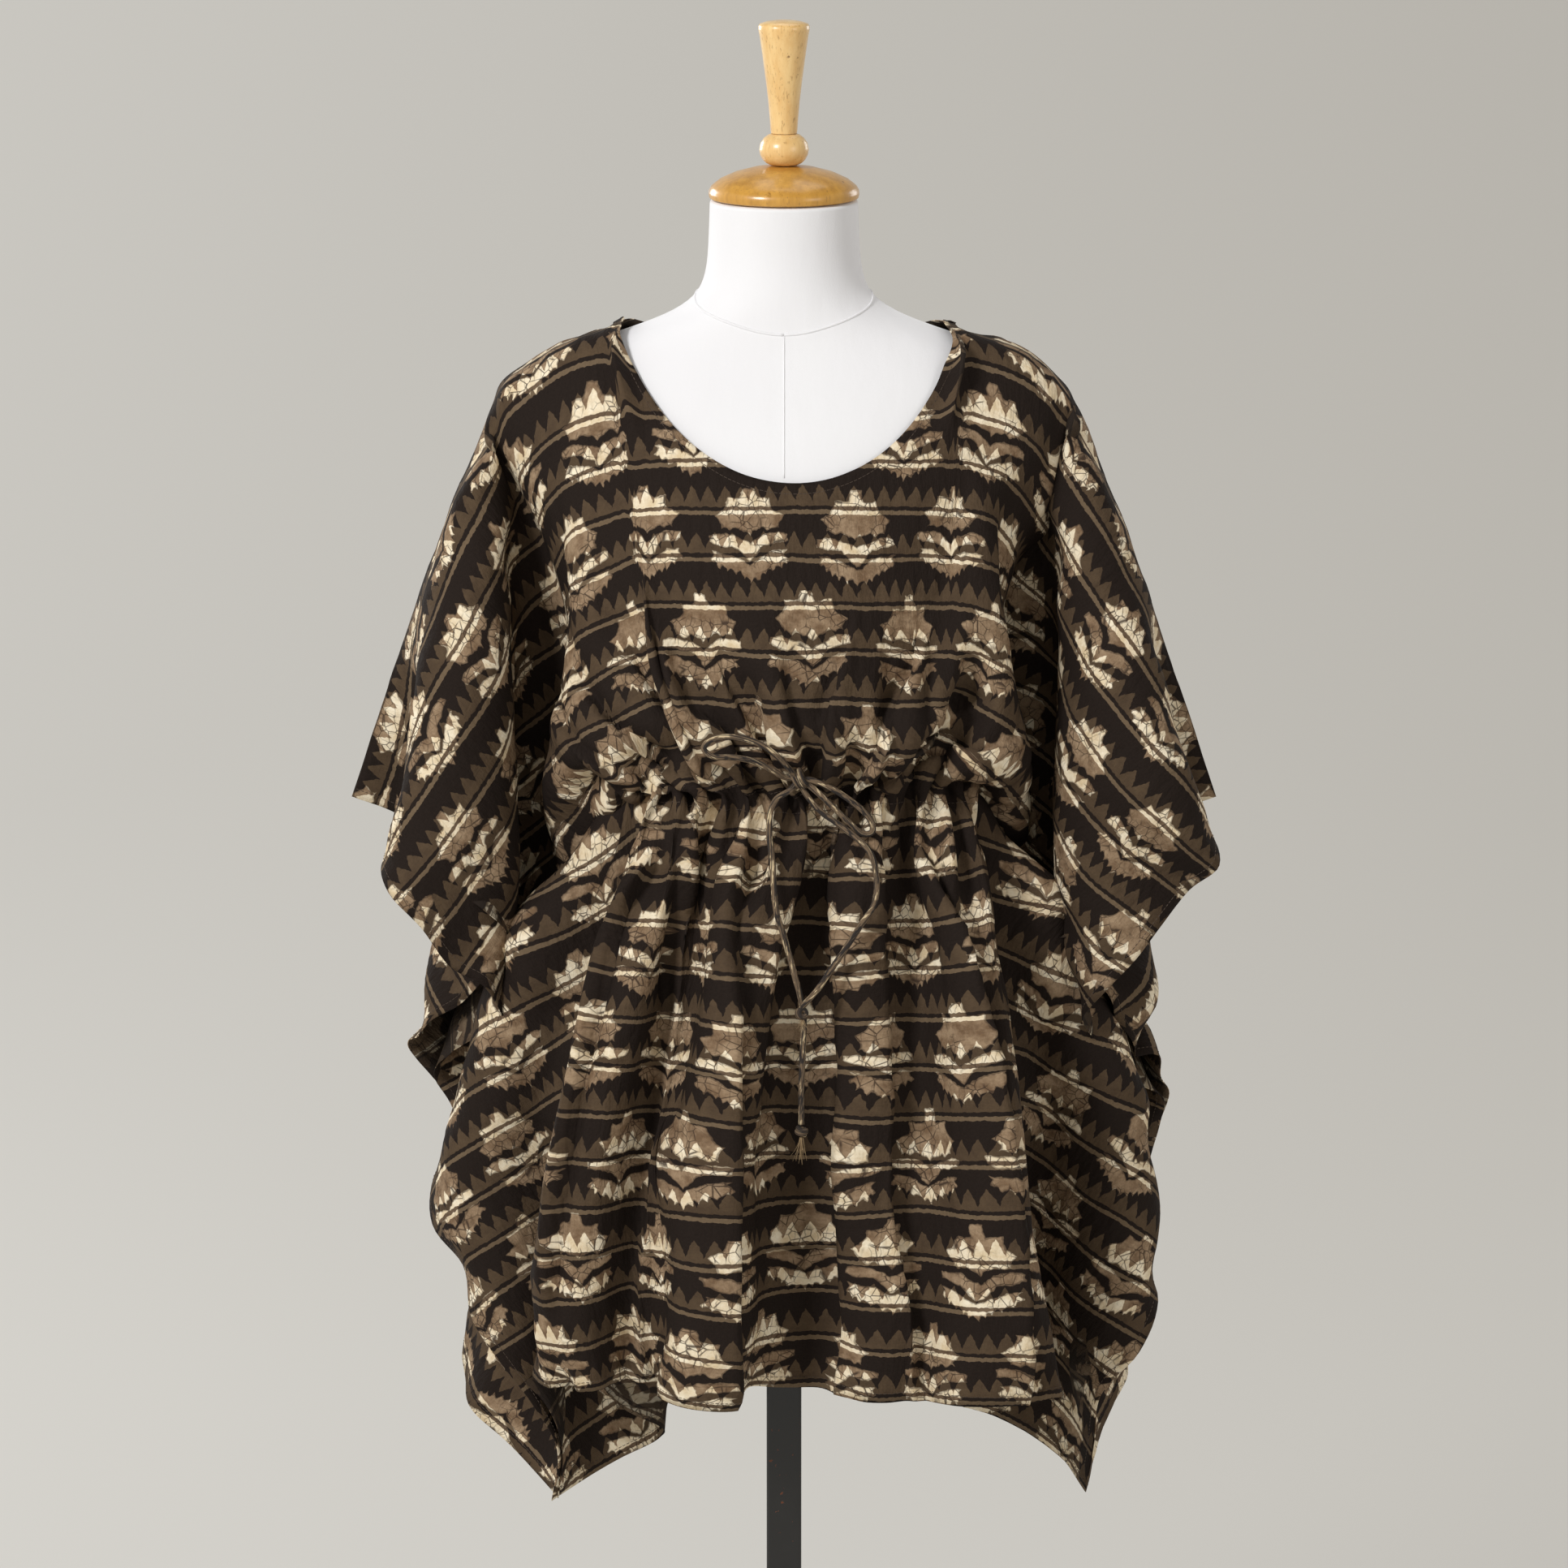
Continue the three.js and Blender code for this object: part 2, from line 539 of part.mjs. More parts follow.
  // Layers of cloth keep off each other: a point that comes near a face is pushed away from it.
  const faces = [];
  for (const panel of [FRONT, BACK]) {
    for (let j = 0; j + 1 < rows; j += 1) {
      for (let i = 0; i + 1 < columns; i += 1) {
        const corners = [pointOf(panel, i, j), pointOf(panel, i, j + 1),
          pointOf(panel, i + 1, j + 1), pointOf(panel, i + 1, j)];
        faces.push([corners[0], corners[1], corners[2], panel, i, j]);
        faces.push([corners[0], corners[2], corners[3], panel, i, j]);
      }
    }
  }
  const layers = () => {
    const grid = new Map();
    const key = (x, y, z) => (x + 512) * 1048576 + (y + 512) * 1024 + z + 512;
    const cellOf = (value) => Math.floor(value / HANG.cell);
    faces.forEach((face, n) => {
      const bound = (pick, c, more) => cellOf(
        pick(p[3 * face[0] + c], p[3 * face[1] + c], p[3 * face[2] + c]) + more);
      const low = [0, 1, 2].map((c) => bound(Math.min, c, -HANG.reach));
      const high = [0, 1, 2].map((c) => bound(Math.max, c, HANG.reach));
      for (let x = low[0]; x <= high[0]; x += 1) {
        for (let y = low[1]; y <= high[1]; y += 1) {
          for (let z = low[2]; z <= high[2]; z += 1) {
            const at = key(x, y, z);
            if (grid.has(at)) grid.get(at).push(n);
            else grid.set(at, [n]);
          }
        }
      }
    });
    const [a, b, c, v, near, normal] = [1, 2, 3, 4, 5, 6].map(() => new THREE.Vector3());
    const triangle = new THREE.Triangle(a, b, c);
    for (let at = 0; at < count; at += 1) {
      const panel = at < panelPoints ? FRONT : BACK;
      const j = Math.floor((at % panelPoints) / columns);
      const i = (at % panelPoints) % columns;
      v.fromArray(p, 3 * at);
      const list = grid.get(key(cellOf(v.x), cellOf(v.y), cellOf(v.z)));
      if (!list) continue;
      for (const n of list) {
        const face = faces[n];
        const close = Math.abs(face[4] - i) <= 2 && Math.abs(face[5] - j) <= 2;
        const edge = j <= 1 || i <= 1 || i >= columns - 2;
        if (close && (face[3] === panel || edge)) continue;
        a.fromArray(p, 3 * face[0]);
        b.fromArray(p, 3 * face[1]);
        c.fromArray(p, 3 * face[2]);
        triangle.closestPointToPoint(v, near);
        const far = v.distanceTo(near);
        const reach = face[3] === panel ? HANG.layer : HANG.reach;
        if (far >= reach || far < 1e-6) continue;
        let push = 0;
        if (face[3] === panel) {
          normal.copy(v).sub(near).divideScalar(far);
          push = 0.5 * (HANG.layer - far);
        } else {
          triangle.getNormal(normal);
          if (face[3] === FRONT) normal.negate();
          push = 0.35 * Math.min(HANG.layer - normal.dot(v.sub(near)), 6);
          if (push <= 0) {
            v.fromArray(p, 3 * at);
            continue;
          }
        }
        const share = face[3] === panel ? 1 : 0.5;
        for (let m = 0; m < 3; m += 1) {
          p[3 * face[m]] -= normal.x * push * share;
          p[3 * face[m] + 1] -= normal.y * push * share;
          p[3 * face[m] + 2] -= normal.z * push * share;
        }
        p[3 * at] += normal.x * push;
        p[3 * at + 1] += normal.y * push;
        p[3 * at + 2] += normal.z * push;
        v.fromArray(p, 3 * at);
      }
    }
  };
  for (let step = 0; step < HANG.steps; step += 1) {
    const lowered = Math.min(1, step / HANG.lower);
    const smooth = lowered * lowered * (3 - 2 * lowered);
    for (let k = 0; k < 3 * count; k += 1) {
      const glide = (p[k] - old[k]) * HANG.damping;
      const move = Math.max(-HANG.fastest, Math.min(HANG.fastest, glide));
      old[k] = p[k];
      p[k] += move - (k % 3 === 2 ? HANG.gravity : 0);
    }
    for (let pass = 0; pass < HANG.passes; pass += 1) {
      const back = pass % 2;
      for (let n = 0; n < links.length; n += 1) {
        const { a, b, rest, pull, push } = links[back ? links.length - 1 - n : n];
        const dx = p[b] - p[a];
        const dy = p[b + 1] - p[a + 1];
        const dz = p[b + 2] - p[a + 2];
        const long = Math.sqrt(dx * dx + dy * dy + dz * dz) || 1;
        const move = ((long - rest) / long) * 0.5 * (long > rest ? pull : push);
        p[a] += dx * move;
        p[a + 1] += dy * move;
        p[a + 2] += dz * move;
        p[b] -= dx * move;
        p[b + 1] -= dy * move;
        p[b + 2] -= dz * move;
      }
      if (pass % 5 === 4) offForm();
      hold(smooth);
      wingOrder();
      joinEdges();
    }
    if (step % 2 === 0) continue;
    layers();
    hold(smooth);
    joinEdges();
  }
  for (let round = 0; round < HANG.tidyRounds; round += 1) {
    layers();
    offForm();
    joinEdges();
  }
  return { p, flat };
}

// A panel as a closed wall: its outer and inner faces, and the rim that joins them.
function wallOf(panel, cloth, thick = CUT.wall) {
  const at = (i, j) => new THREE.Vector3().fromArray(cloth.p, 3 * pointOf(panel, i, j));
  const faceOut = panel === FRONT ? -1 : 1;
  const points = [];
  const places = [];
  for (const side of [1, -1]) {
    for (let j = 0; j < rows; j += 1) {
      for (let i = 0; i < columns; i += 1) {
        const here = at(i, j);
        const across = at(Math.min(i + 1, columns - 1), j).sub(at(Math.max(i - 1, 0), j));
        const down = at(i, Math.min(j + 1, rows - 1)).sub(at(i, Math.max(j - 1, 0)));
        const normal = across.cross(down).normalize().multiplyScalar(faceOut);
        points.push(here.addScaledVector(normal, (side * thick) / 2));
        const { s, t } = cloth.flat[pointOf(panel, i, j)];
        places.push(s, t);
      }
    }
  }
  const faces = [];
  const quad = (a, b, c, d) => faces.push(a, b, c, a, c, d);
  const outer = (i, j) => j * columns + i;
  const inner = (i, j) => panelPoints + j * columns + i;
  for (let j = 0; j + 1 < rows; j += 1) {
    for (let i = 0; i + 1 < columns; i += 1) {
      quad(outer(i, j), outer(i, j + 1), outer(i + 1, j + 1), outer(i + 1, j));
      quad(inner(i, j), inner(i + 1, j), inner(i + 1, j + 1), inner(i, j + 1));
    }
  }
  for (let i = 0; i + 1 < columns; i += 1) {
    quad(outer(i, 0), outer(i + 1, 0), inner(i + 1, 0), inner(i, 0));
    const j = rows - 1;
    quad(outer(i + 1, j), outer(i, j), inner(i, j), inner(i + 1, j));
  }
  for (let j = 0; j + 1 < rows; j += 1) {
    quad(outer(0, j + 1), outer(0, j), inner(0, j), inner(0, j + 1));
    const i = columns - 1;
    quad(outer(i, j), outer(i, j + 1), inner(i, j + 1), inner(i, j));
  }
  if (panel === BACK) {
    for (let n = 0; n < faces.length; n += 3) {
      [faces[n + 1], faces[n + 2]] = [faces[n + 2], faces[n + 1]];
    }
  }
  return new THREE.BufferGeometry()
    .setAttribute("position", new THREE.Float32BufferAttribute(points.flatMap((v) => [...v]), 3))
    .setAttribute("uv", new THREE.Float32BufferAttribute(places, 2))
    .setIndex(faces);
}

// The padded torso: rings of its cross-sections from the hips up to the neck's top.
function torsoGeometry() {
  const points = [];
  const faces = [];
  const levels = [];
  for (let z = FORM.bottom; z < FORM.neckTop; z += z < 1300 ? 36 : 13) levels.push(z);
  levels.push(FORM.neckTop);
  const bend = (v) => Math.sign(v) * Math.abs(v) ** (2 / FORM.power);
  levels.forEach((z) => {
    const k = z - FORM.bottom;
    const leaning = Math.max(0, (z - HEAD.leanFrom) / (FORM.neckTop - HEAD.leanFrom));
    const lean = Math.tan(HEAD.tilt) * leaning;
    for (let n = 0; n < FORM.sides; n += 1) {
      const turn = (n / FORM.sides) * 2 * Math.PI;
      const deep = (Math.sin(turn) < 0 ? torso.front[k] : torso.back[k]) * bend(Math.sin(turn));
      points.push(torso.half[k] * bend(Math.cos(turn)), torso.y[k] + deep, z + lean * deep);
    }
  });
  const ring = (level, n) => level * FORM.sides + (n % FORM.sides);
  for (let level = 0; level + 1 < levels.length; level += 1) {
    for (let n = 0; n < FORM.sides; n += 1) {
      const [a, b] = [ring(level, n), ring(level, n + 1)];
      const [c, d] = [ring(level + 1, n + 1), ring(level + 1, n)];
      faces.push(a, b, c, a, c, d);
    }
  }
  const low = points.length / 3;
  points.push(0, 0, FORM.bottom, 0, torso.y[torso.y.length - 1], FORM.neckTop);
  for (let n = 0; n < FORM.sides; n += 1) {
    faces.push(low, ring(0, n + 1), ring(0, n));
    faces.push(low + 1, ring(levels.length - 1, n), ring(levels.length - 1, n + 1));
  }
  return new THREE.BufferGeometry()
    .setAttribute("position", new THREE.Float32BufferAttribute(points, 3))
    .setIndex(faces);
}

// A profile turned on the lathe.
function turned(profile, sides) {
  const outline = profile.map((row) => new THREE.Vector2(row.r, row.z));
  return new THREE.LatheGeometry(outline, sides).rotateX(Math.PI / 2);
}

// A square with rounded corners, as a shape to extrude.
function roundSquare(side, corner, Kind = THREE.Shape) {
  const h = side / 2;
  const shape = new Kind();
  shape.moveTo(-h + corner, -h).lineTo(h - corner, -h);
  shape.absarc(h - corner, -h + corner, corner, -Math.PI / 2, 0, false);
  shape.absarc(h - corner, h - corner, corner, 0, Math.PI / 2, false);
  shape.absarc(-h + corner, h - corner, corner, Math.PI / 2, Math.PI, false);
  shape.absarc(-h + corner, -h + corner, corner, Math.PI, 1.5 * Math.PI, false);
  return shape;
}

// A length of tie through its points.
function tieGeometry(points) {
  const places = points.map((row) => new THREE.Vector3(row.x, row.y, row.z));
  const curve = new THREE.CatmullRomCurve3(places);
  const section = new THREE.Shape();
  for (let n = 0; n < TIE.sides; n += 1) {
    const turn = (n / TIE.sides) * 2 * Math.PI;
    const [x, y] = [(TIE.across / 2) * Math.cos(turn), (TIE.across / 2) * Math.sin(turn)];
    if (n === 0) section.moveTo(x, y);
    else section.lineTo(x, y);
  }
  const steps = Math.round(curve.getLength() / TIE.step);
  return new THREE.ExtrudeGeometry(section, { steps, extrudePath: curve });
}

// A knot, as a rounded lump.
function knotGeometry(place, wide, deep, high) {
  const sphere = new THREE.SphereGeometry(1, 12, 8).scale(wide, deep, high);
  return sphere.translate(place.x, place.y, place.z);
}

const wasm = await Module();
wasm.setup();

// A closed geometry as a solid that can be cut.
function solidOf(geometry) {
  const bare = new THREE.BufferGeometry()
    .setAttribute("position", geometry.getAttribute("position"));
  if (geometry.index) bare.setIndex(geometry.index);
  const merged = mergeVertices(bare, 1e-3);
  return new wasm.Manifold(new wasm.Mesh({
    numProp: 3,
    vertProperties: merged.getAttribute("position").array,
    triVerts: new Uint32Array(merged.index.array),
  }));
}

// A solid's biggest body, as a geometry.
function mainBody(solid) {
  const kept = solid.decompose().reduce((a, b) => (a.volume() > b.volume() ? a : b));
  const mesh = kept.getMesh();
  return new THREE.BufferGeometry()
    .setAttribute("position", new THREE.BufferAttribute(mesh.vertProperties, 3))
    .setIndex(new THREE.BufferAttribute(mesh.triVerts, 1));
}

// The back is cut clear of the front where the two layers press on each other.
function clearedBack(back, front, wideFront) {
  let rest = back.subtract(wideFront);
  for (const bit of rest.intersect(front).decompose()) {
    const { min, max } = bit.boundingBox();
    const size = [0, 1, 2].map((c) => max[c] - min[c] + 2 * CUT.gap);
    const box = new THREE.BoxGeometry(...size);
    box.translate(...[0, 1, 2].map((c) => (max[c] + min[c]) / 2));
    rest = rest.subtract(solidOf(box));
  }
  return mainBody(rest);
}

const kaftan = new THREE.Group();
const paint = (color, roughness, metalness) =>
  new THREE.MeshStandardMaterial({ color, roughness, metalness });
function add(name, geometry, material, parent = kaftan) {
  const mesh = new THREE.Mesh(geometry, material);
  mesh.name = name;
  parent.add(mesh);
  return mesh;
}

const cloth = hangCloth();
const print = paint(0x4a3c2e, 0.85, 0);
const front = wallOf(FRONT, cloth);
const wideFront = solidOf(wallOf(FRONT, cloth, CUT.wall + 2 * CUT.gap));
add("kaftan_front", front, print);
const back = clearedBack(solidOf(wallOf(BACK, cloth)), solidOf(front), wideFront);
add("kaftan_back", back, print.clone());
add("form_torso", torsoGeometry(), paint(0xe9e4e0, 0.9, 0));

const tie = paint(0x8a7556, 0.85, 0);
const { knot, knotWide, knotDeep, knotHigh } = TIE;
add("tie_knot", knotGeometry(knot, knotWide, knotDeep, knotHigh), tie);
const nearKnot = knotGeometry(knot, knotWide + CUT.gap, knotDeep + CUT.gap, knotHigh + CUT.gap);
const tails = { left: TAIL_LEFT, right: TAIL_RIGHT };
const loops = { left: LOOP_LEFT, right: LOOP_RIGHT };
for (const side of ["left", "right"]) {
  const loop = mainBody(solidOf(tieGeometry(loops[side])).subtract(solidOf(nearKnot)));
  add(`tie_loop_${side}`, loop, tie.clone());
  const end = tails[side][tails[side].length - 1];
  const { endKnot } = TIE;
  const place = { x: end.x, y: end.y, z: end.z - endKnot };
  add(`tie_end_${side}`, knotGeometry(place, endKnot, endKnot, endKnot + 1), tie.clone());
  const nearEnd = knotGeometry(place, endKnot + CUT.gap, endKnot + CUT.gap, endKnot + 1 + CUT.gap);
  const ends = solidOf(nearKnot).add(solidOf(nearEnd));
  add(`tie_tail_${side}`, mainBody(solidOf(tieGeometry(tails[side])).subtract(ends)), tie.clone());
}

const head = new THREE.Group();
head.position.set(0, HEAD.y, FORM.neckTop);
head.rotation.x = HEAD.tilt;
kaftan.add(head);
const wood = paint(0xd9a95a, 0.35, 0);
add("neck_cap", turned(CAP, HEAD.sides), paint(0xc98f3c, 0.35, 0), head);
add("head_ball", turned(BALL, HEAD.sides), wood, head).position.z = HEAD.ballUp;
add("head_handle", turned(HANDLE, HEAD.sides), wood.clone(), head).position.z = HEAD.handleUp;

const blackPaint = paint(0x14130f, 0.5, 0.4);
const poleTop = FORM.bottom - CUT.gap;
const pole = new THREE.ExtrudeGeometry(roundSquare(POLE.side, POLE.corner), {
  depth: poleTop - POLE.foot, bevelEnabled: false, curveSegments: 3,
});
add("pole", pole, blackPaint).position.z = POLE.foot;
const collarShape = roundSquare(BASE.collarSide, 4);
collarShape.holes.push(roundSquare(POLE.side + 2 * CUT.gap, POLE.corner, THREE.Path));
const collar = new THREE.ExtrudeGeometry(collarShape, {
  depth: BASE.collarHigh, bevelEnabled: false, curveSegments: 3,
});
add("pole_collar", collar, blackPaint.clone()).position.z = BASE.thick + CUT.gap;
const plate = [
  { r: 0, z: 0 }, { r: BASE.radius, z: 0 }, { r: BASE.radius, z: BASE.thick - BASE.edge },
  { r: BASE.radius - BASE.edge, z: BASE.thick }, { r: 0, z: BASE.thick },
];
add("base_plate", turned(plate, BASE.sides), blackPaint.clone());

export default kaftan;
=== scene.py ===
import math
import bmesh
import bpy
import numpy as np
from mathutils import Euler, Matrix, Vector, noise
from mathutils.bvhtree import BVHTree
from mathutils.kdtree import KDTree


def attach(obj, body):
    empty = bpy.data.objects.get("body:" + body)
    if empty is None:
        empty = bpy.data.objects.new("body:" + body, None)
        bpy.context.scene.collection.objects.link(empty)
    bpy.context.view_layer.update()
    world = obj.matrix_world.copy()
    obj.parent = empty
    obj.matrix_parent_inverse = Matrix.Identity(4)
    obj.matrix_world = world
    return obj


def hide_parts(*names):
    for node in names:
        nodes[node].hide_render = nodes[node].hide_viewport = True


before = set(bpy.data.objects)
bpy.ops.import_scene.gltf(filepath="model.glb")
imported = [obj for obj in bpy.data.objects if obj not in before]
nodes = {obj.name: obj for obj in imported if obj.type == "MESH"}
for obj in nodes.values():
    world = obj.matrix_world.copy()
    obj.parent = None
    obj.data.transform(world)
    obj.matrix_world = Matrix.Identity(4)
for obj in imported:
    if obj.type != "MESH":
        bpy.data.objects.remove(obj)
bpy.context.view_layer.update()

# The camera stands 2.6 m in front of the kaftan, at the height of its neck, and looks a
# little down at the middle of it with a long lens, as the product photograph was taken.
camera_data = bpy.data.cameras.new("camera")
camera_data.sensor_width = 36.0
camera_data.lens = 84.22
camera = bpy.data.objects.new("camera", camera_data)
bpy.context.scene.collection.objects.link(camera)
camera.location = (0.0, -2.6, 1.4)
looked_at = Vector((0.0, 0.0, 1.062))
camera.rotation_euler = (looked_at - camera.location).to_track_quat("-Z", "Y").to_euler()
bpy.context.scene.camera = camera

# The drawstring: a strip of the same printed cotton rolled on itself to a tie 3.8 mm thick.
# It comes out of the casing under the bow's knot, and both free ends are knotted.
tie_radius = 0.0019
rolls_per_metre = 7.0
route_step = 0.0022
knot_place = Vector((0.010, -0.127, 1.082))
tie_routes = {
    "tail_left": [
        (0.0095, -0.127, 1.081), (0.004, -0.126, 1.074), (-0.005, -0.124, 1.068),
        (-0.0095, -0.127, 1.058), (-0.010, -0.130, 1.044), (-0.008, -0.135, 1.029),
        (-0.007, -0.141, 1.012), (-0.005, -0.143, 0.993), (0.0005, -0.143, 0.974),
        (0.007, -0.143, 0.950), (0.013, -0.142, 0.924), (0.013, -0.141, 0.900),
        (0.012, -0.140, 0.872), (0.012, -0.139, 0.845),
    ],
    "tail_right": [
        (0.0105, -0.127, 1.081), (0.014, -0.125, 1.073), (0.024, -0.123, 1.060),
        (0.038, -0.125, 1.050), (0.051, -0.128, 1.040), (0.060, -0.131, 1.029),
        (0.063, -0.135, 1.012), (0.061, -0.138, 0.997), (0.053, -0.142, 0.985),
        (0.036, -0.148, 0.960), (0.022, -0.151, 0.940), (0.012, -0.151, 0.929),
    ],
    "loop_left": [
        (0.010, -0.127, 1.082), (0.0035, -0.135, 1.090), (-0.005, -0.143, 1.100),
        (-0.018, -0.147, 1.109), (-0.034, -0.148, 1.113), (-0.047, -0.149, 1.112),
        (-0.054, -0.149, 1.106), (-0.048, -0.148, 1.100), (-0.035, -0.146, 1.099),
        (-0.021, -0.142, 1.096), (-0.008, -0.136, 1.089), (0.000, -0.129, 1.0835),
        (0.009, -0.127, 1.082),
    ],
    "loop_right": [
        (0.010, -0.127, 1.082), (0.020, -0.128, 1.081), (0.035, -0.127, 1.074),
        (0.050, -0.124, 1.063), (0.059, -0.122, 1.053), (0.060, -0.122, 1.045),
        (0.053, -0.122, 1.044), (0.043, -0.123, 1.053), (0.031, -0.126, 1.065),
        (0.019, -0.127, 1.076), (0.011, -0.127, 1.0815),
    ],
}


def between(p0, p1, p2, p3, u):
    """The smooth curve through p1 and p2, at u from 0 to 1."""
    return 0.5 * ((2 * p1) + (p2 - p0) * u + (2 * p0 - 5 * p1 + 4 * p2 - p3) * u * u
                  + (3 * p1 - p0 - 3 * p2 + p3) * u ** 3)


def smooth_route(points, step):
    places = [Vector(p) for p in points]
    places = [2 * places[0] - places[1], *places, 2 * places[-1] - places[-2]]
    route = []
    for k in range(1, len(places) - 2):
        count = max(1, round((places[k + 1] - places[k]).length / step))
        for n in range(count):
            route.append(between(*places[k - 1:k + 3], n / count))
    return [*route, places[-2]]


def rolled_tube(name, route, radius, turns_per_metre, sides=14):
    """A rolled strip of cloth along a route: its free edge runs round it as a low step."""
    mesh = bpy.data.meshes.new(name)
    points, faces, uvs = [], [], []
    length = 0.0
    side = Vector((0.0, 0.0, 1.0)).cross(route[1] - route[0])
    side = side.normalized() if side.length > 1e-9 else Vector((1.0, 0.0, 0.0))
    for k, here in enumerate(route):
        along = (route[min(k + 1, len(route) - 1)] - route[max(k - 1, 0)]).normalized()
        side = (side - along * side.dot(along)).normalized()
        other = along.cross(side)
        if k:
            length += (here - route[k - 1]).length
        for n in range(sides):
            turn = 2 * math.pi * (n / sides + turns_per_metre * length)
            edge = 1.0 + 0.13 * ((n / sides) % 1.0) - 0.06
            lump = 1.0 + 0.10 * noise.noise(Vector((length * 260, n / sides * 2.0, radius)))
            r = radius * edge * lump * (1.0 - 0.12 * math.cos(2 * turn))
            points.append(here + side * r * math.cos(turn) + other * r * math.sin(turn))
            uvs.append((n / sides, length))
    rings = len(route)
    for k in range(rings - 1):
        for n in range(sides):
            m = (n + 1) % sides
            faces.append((k * sides + n, k * sides + m, (k + 1) * sides + m, (k + 1) * sides + n))
    faces.append(tuple(reversed(range(sides))))
    faces.append(tuple(range((rings - 1) * sides, rings * sides)))
    mesh.from_pydata(points, [], faces)
    layer = mesh.uv_layers.new(name="roll")
    for loop in mesh.loops:
        layer.data[loop.index].uv = uvs[loop.vertex_index]
    mesh.polygons.foreach_set("use_smooth", [len(p.vertices) == 4 for p in mesh.polygons])
    piece = bpy.data.objects.new(name, mesh)
    bpy.context.scene.collection.objects.link(piece)
    return piece


def linear(color):
    """A colour named by its screen value, as light."""
    rgb = [int(color[k:k + 2], 16) / 255 for k in (0, 2, 4)]
    return (*[c / 12.92 if c <= 0.04045 else ((c + 0.055) / 1.055) ** 2.4 for c in rgb], 1.0)


class Field:
    """A number that varies over a surface, worked out by the material's own nodes."""

    def __init__(self, tree, socket):
        self.tree = tree
        self.socket = socket

    def step(self, operation, *others, clamp=False):
        node = self.tree.nodes.new("ShaderNodeMath")
        node.operation = operation
        node.use_clamp = clamp
        for n, value in enumerate((self, *others)):
            if isinstance(value, Field):
                self.tree.links.new(value.socket, node.inputs[n])
            else:
                node.inputs[n].default_value = value
        return Field(self.tree, node.outputs[0])

    def __add__(self, other):
        return self.step("ADD", other)

    def __rmul__(self, other):
        return self * other

    def __rsub__(self, other):
        return self * -1.0 + other

    def __sub__(self, other):
        return self.step("SUBTRACT", other)

    def __mul__(self, other):
        return self.step("MULTIPLY", other)

    def __truediv__(self, other):
        return self.step("DIVIDE", other)

    def __mod__(self, other):
        return self.step("FLOORED_MODULO", other)

    def __pow__(self, other):
        return self.step("POWER", other)

    def size(self):
        return self.step("ABSOLUTE")

    def least(self, other):
        return self.step("MINIMUM", other)

    def most(self, other):
        return self.step("MAXIMUM", other)

    def below(self, limit, blur=0.25):
        """1 where this is under the limit, 0 where it is over, over a soft edge."""
        gap = (self - limit) * (-1.0 / blur)
        return gap.step("ADD", 0.5, clamp=True)

    def above(self, limit, blur=0.25):
        return (self - limit).step("MULTIPLY_ADD", 1.0 / blur, 0.5, clamp=True)


def new_material(name, roughness, sheen=0.0):
    material = bpy.data.materials.new(name)
    material.use_nodes = True
    tree = material.node_tree
    shader = tree.nodes["Principled BSDF"]
    shader.inputs["Roughness"].default_value = roughness
    shader.inputs["Sheen Weight"].default_value = sheen
    return material, tree, shader


def noise_field(tree, vector, scale, detail=2.0, roughness=0.5):
    node = tree.nodes.new("ShaderNodeTexNoise")
    node.inputs["Scale"].default_value = scale
    node.inputs["Detail"].default_value = detail
    node.inputs["Roughness"].default_value = roughness
    tree.links.new(vector, node.inputs["Vector"])
    return Field(tree, node.outputs["Fac"])


def stretched(tree, vector, scale):
    node = tree.nodes.new("ShaderNodeMapping")
    node.inputs["Scale"].default_value = scale
    tree.links.new(vector, node.inputs["Vector"])
    return node.outputs["Vector"]


def mixed(tree, first, second, share):
    """One colour painted over another; each is a screen colour's name or a socket, and the
    share of the second is one number or a field."""
    node = tree.nodes.new("ShaderNodeMix")
    node.data_type = "RGBA"
    for socket, value in ((node.inputs[6], first), (node.inputs[7], second)):
        if isinstance(value, str):
            socket.default_value = linear(value)
        else:
            tree.links.new(value, socket)
    if isinstance(share, Field):
        tree.links.new(share.socket, node.inputs[0])
    else:
        node.inputs[0].default_value = share
    return node.outputs[2]


def bumped(tree, shader, height, strength, distance):
    node = tree.nodes.new("ShaderNodeBump")
    node.inputs["Strength"].default_value = strength
    node.inputs["Distance"].default_value = distance
    tree.links.new(height.socket, node.inputs["Height"])
    tree.links.new(node.outputs["Normal"], shader.inputs["Normal"])


tie_material, tree, shader = new_material("tie_cloth", 0.9)
roll = tree.nodes.new("ShaderNodeUVMap")
roll.uv_map = "roll"
bands = noise_field(tree, stretched(tree, roll.outputs["UV"], (2.6, 46.0, 1.0)), 1.0, 3.0, 0.65)
streaks = noise_field(tree, stretched(tree, roll.outputs["UV"], (9.0, 14.0, 3.0)), 1.0, 2.0)
ink = mixed(tree, "2a231f", "6f5c47", bands.above(0.46, 0.05))
ink = mixed(tree, ink, "cdb893", bands.above(0.58, 0.04))
ink = mixed(tree, ink, "241e1b", streaks.above(0.55, 0.05) * 0.9)
tree.links.new(ink, shader.inputs["Base Color"])
fibres = noise_field(tree, stretched(tree, roll.outputs["UV"], (26.0, 900.0, 1.0)), 1.0, 3.0)
bumped(tree, shader, fibres, 0.5, 0.0006)

tie_pieces = {}
for part, route in tie_routes.items():
    smooth = smooth_route(route, route_step)
    piece = rolled_tube("tie_" + part + "_cloth", smooth, tie_radius, rolls_per_metre)
    piece.data.materials.append(tie_material)
    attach(piece, "root")
    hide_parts("tie_" + part)
    tie_pieces[part] = (piece, smooth)


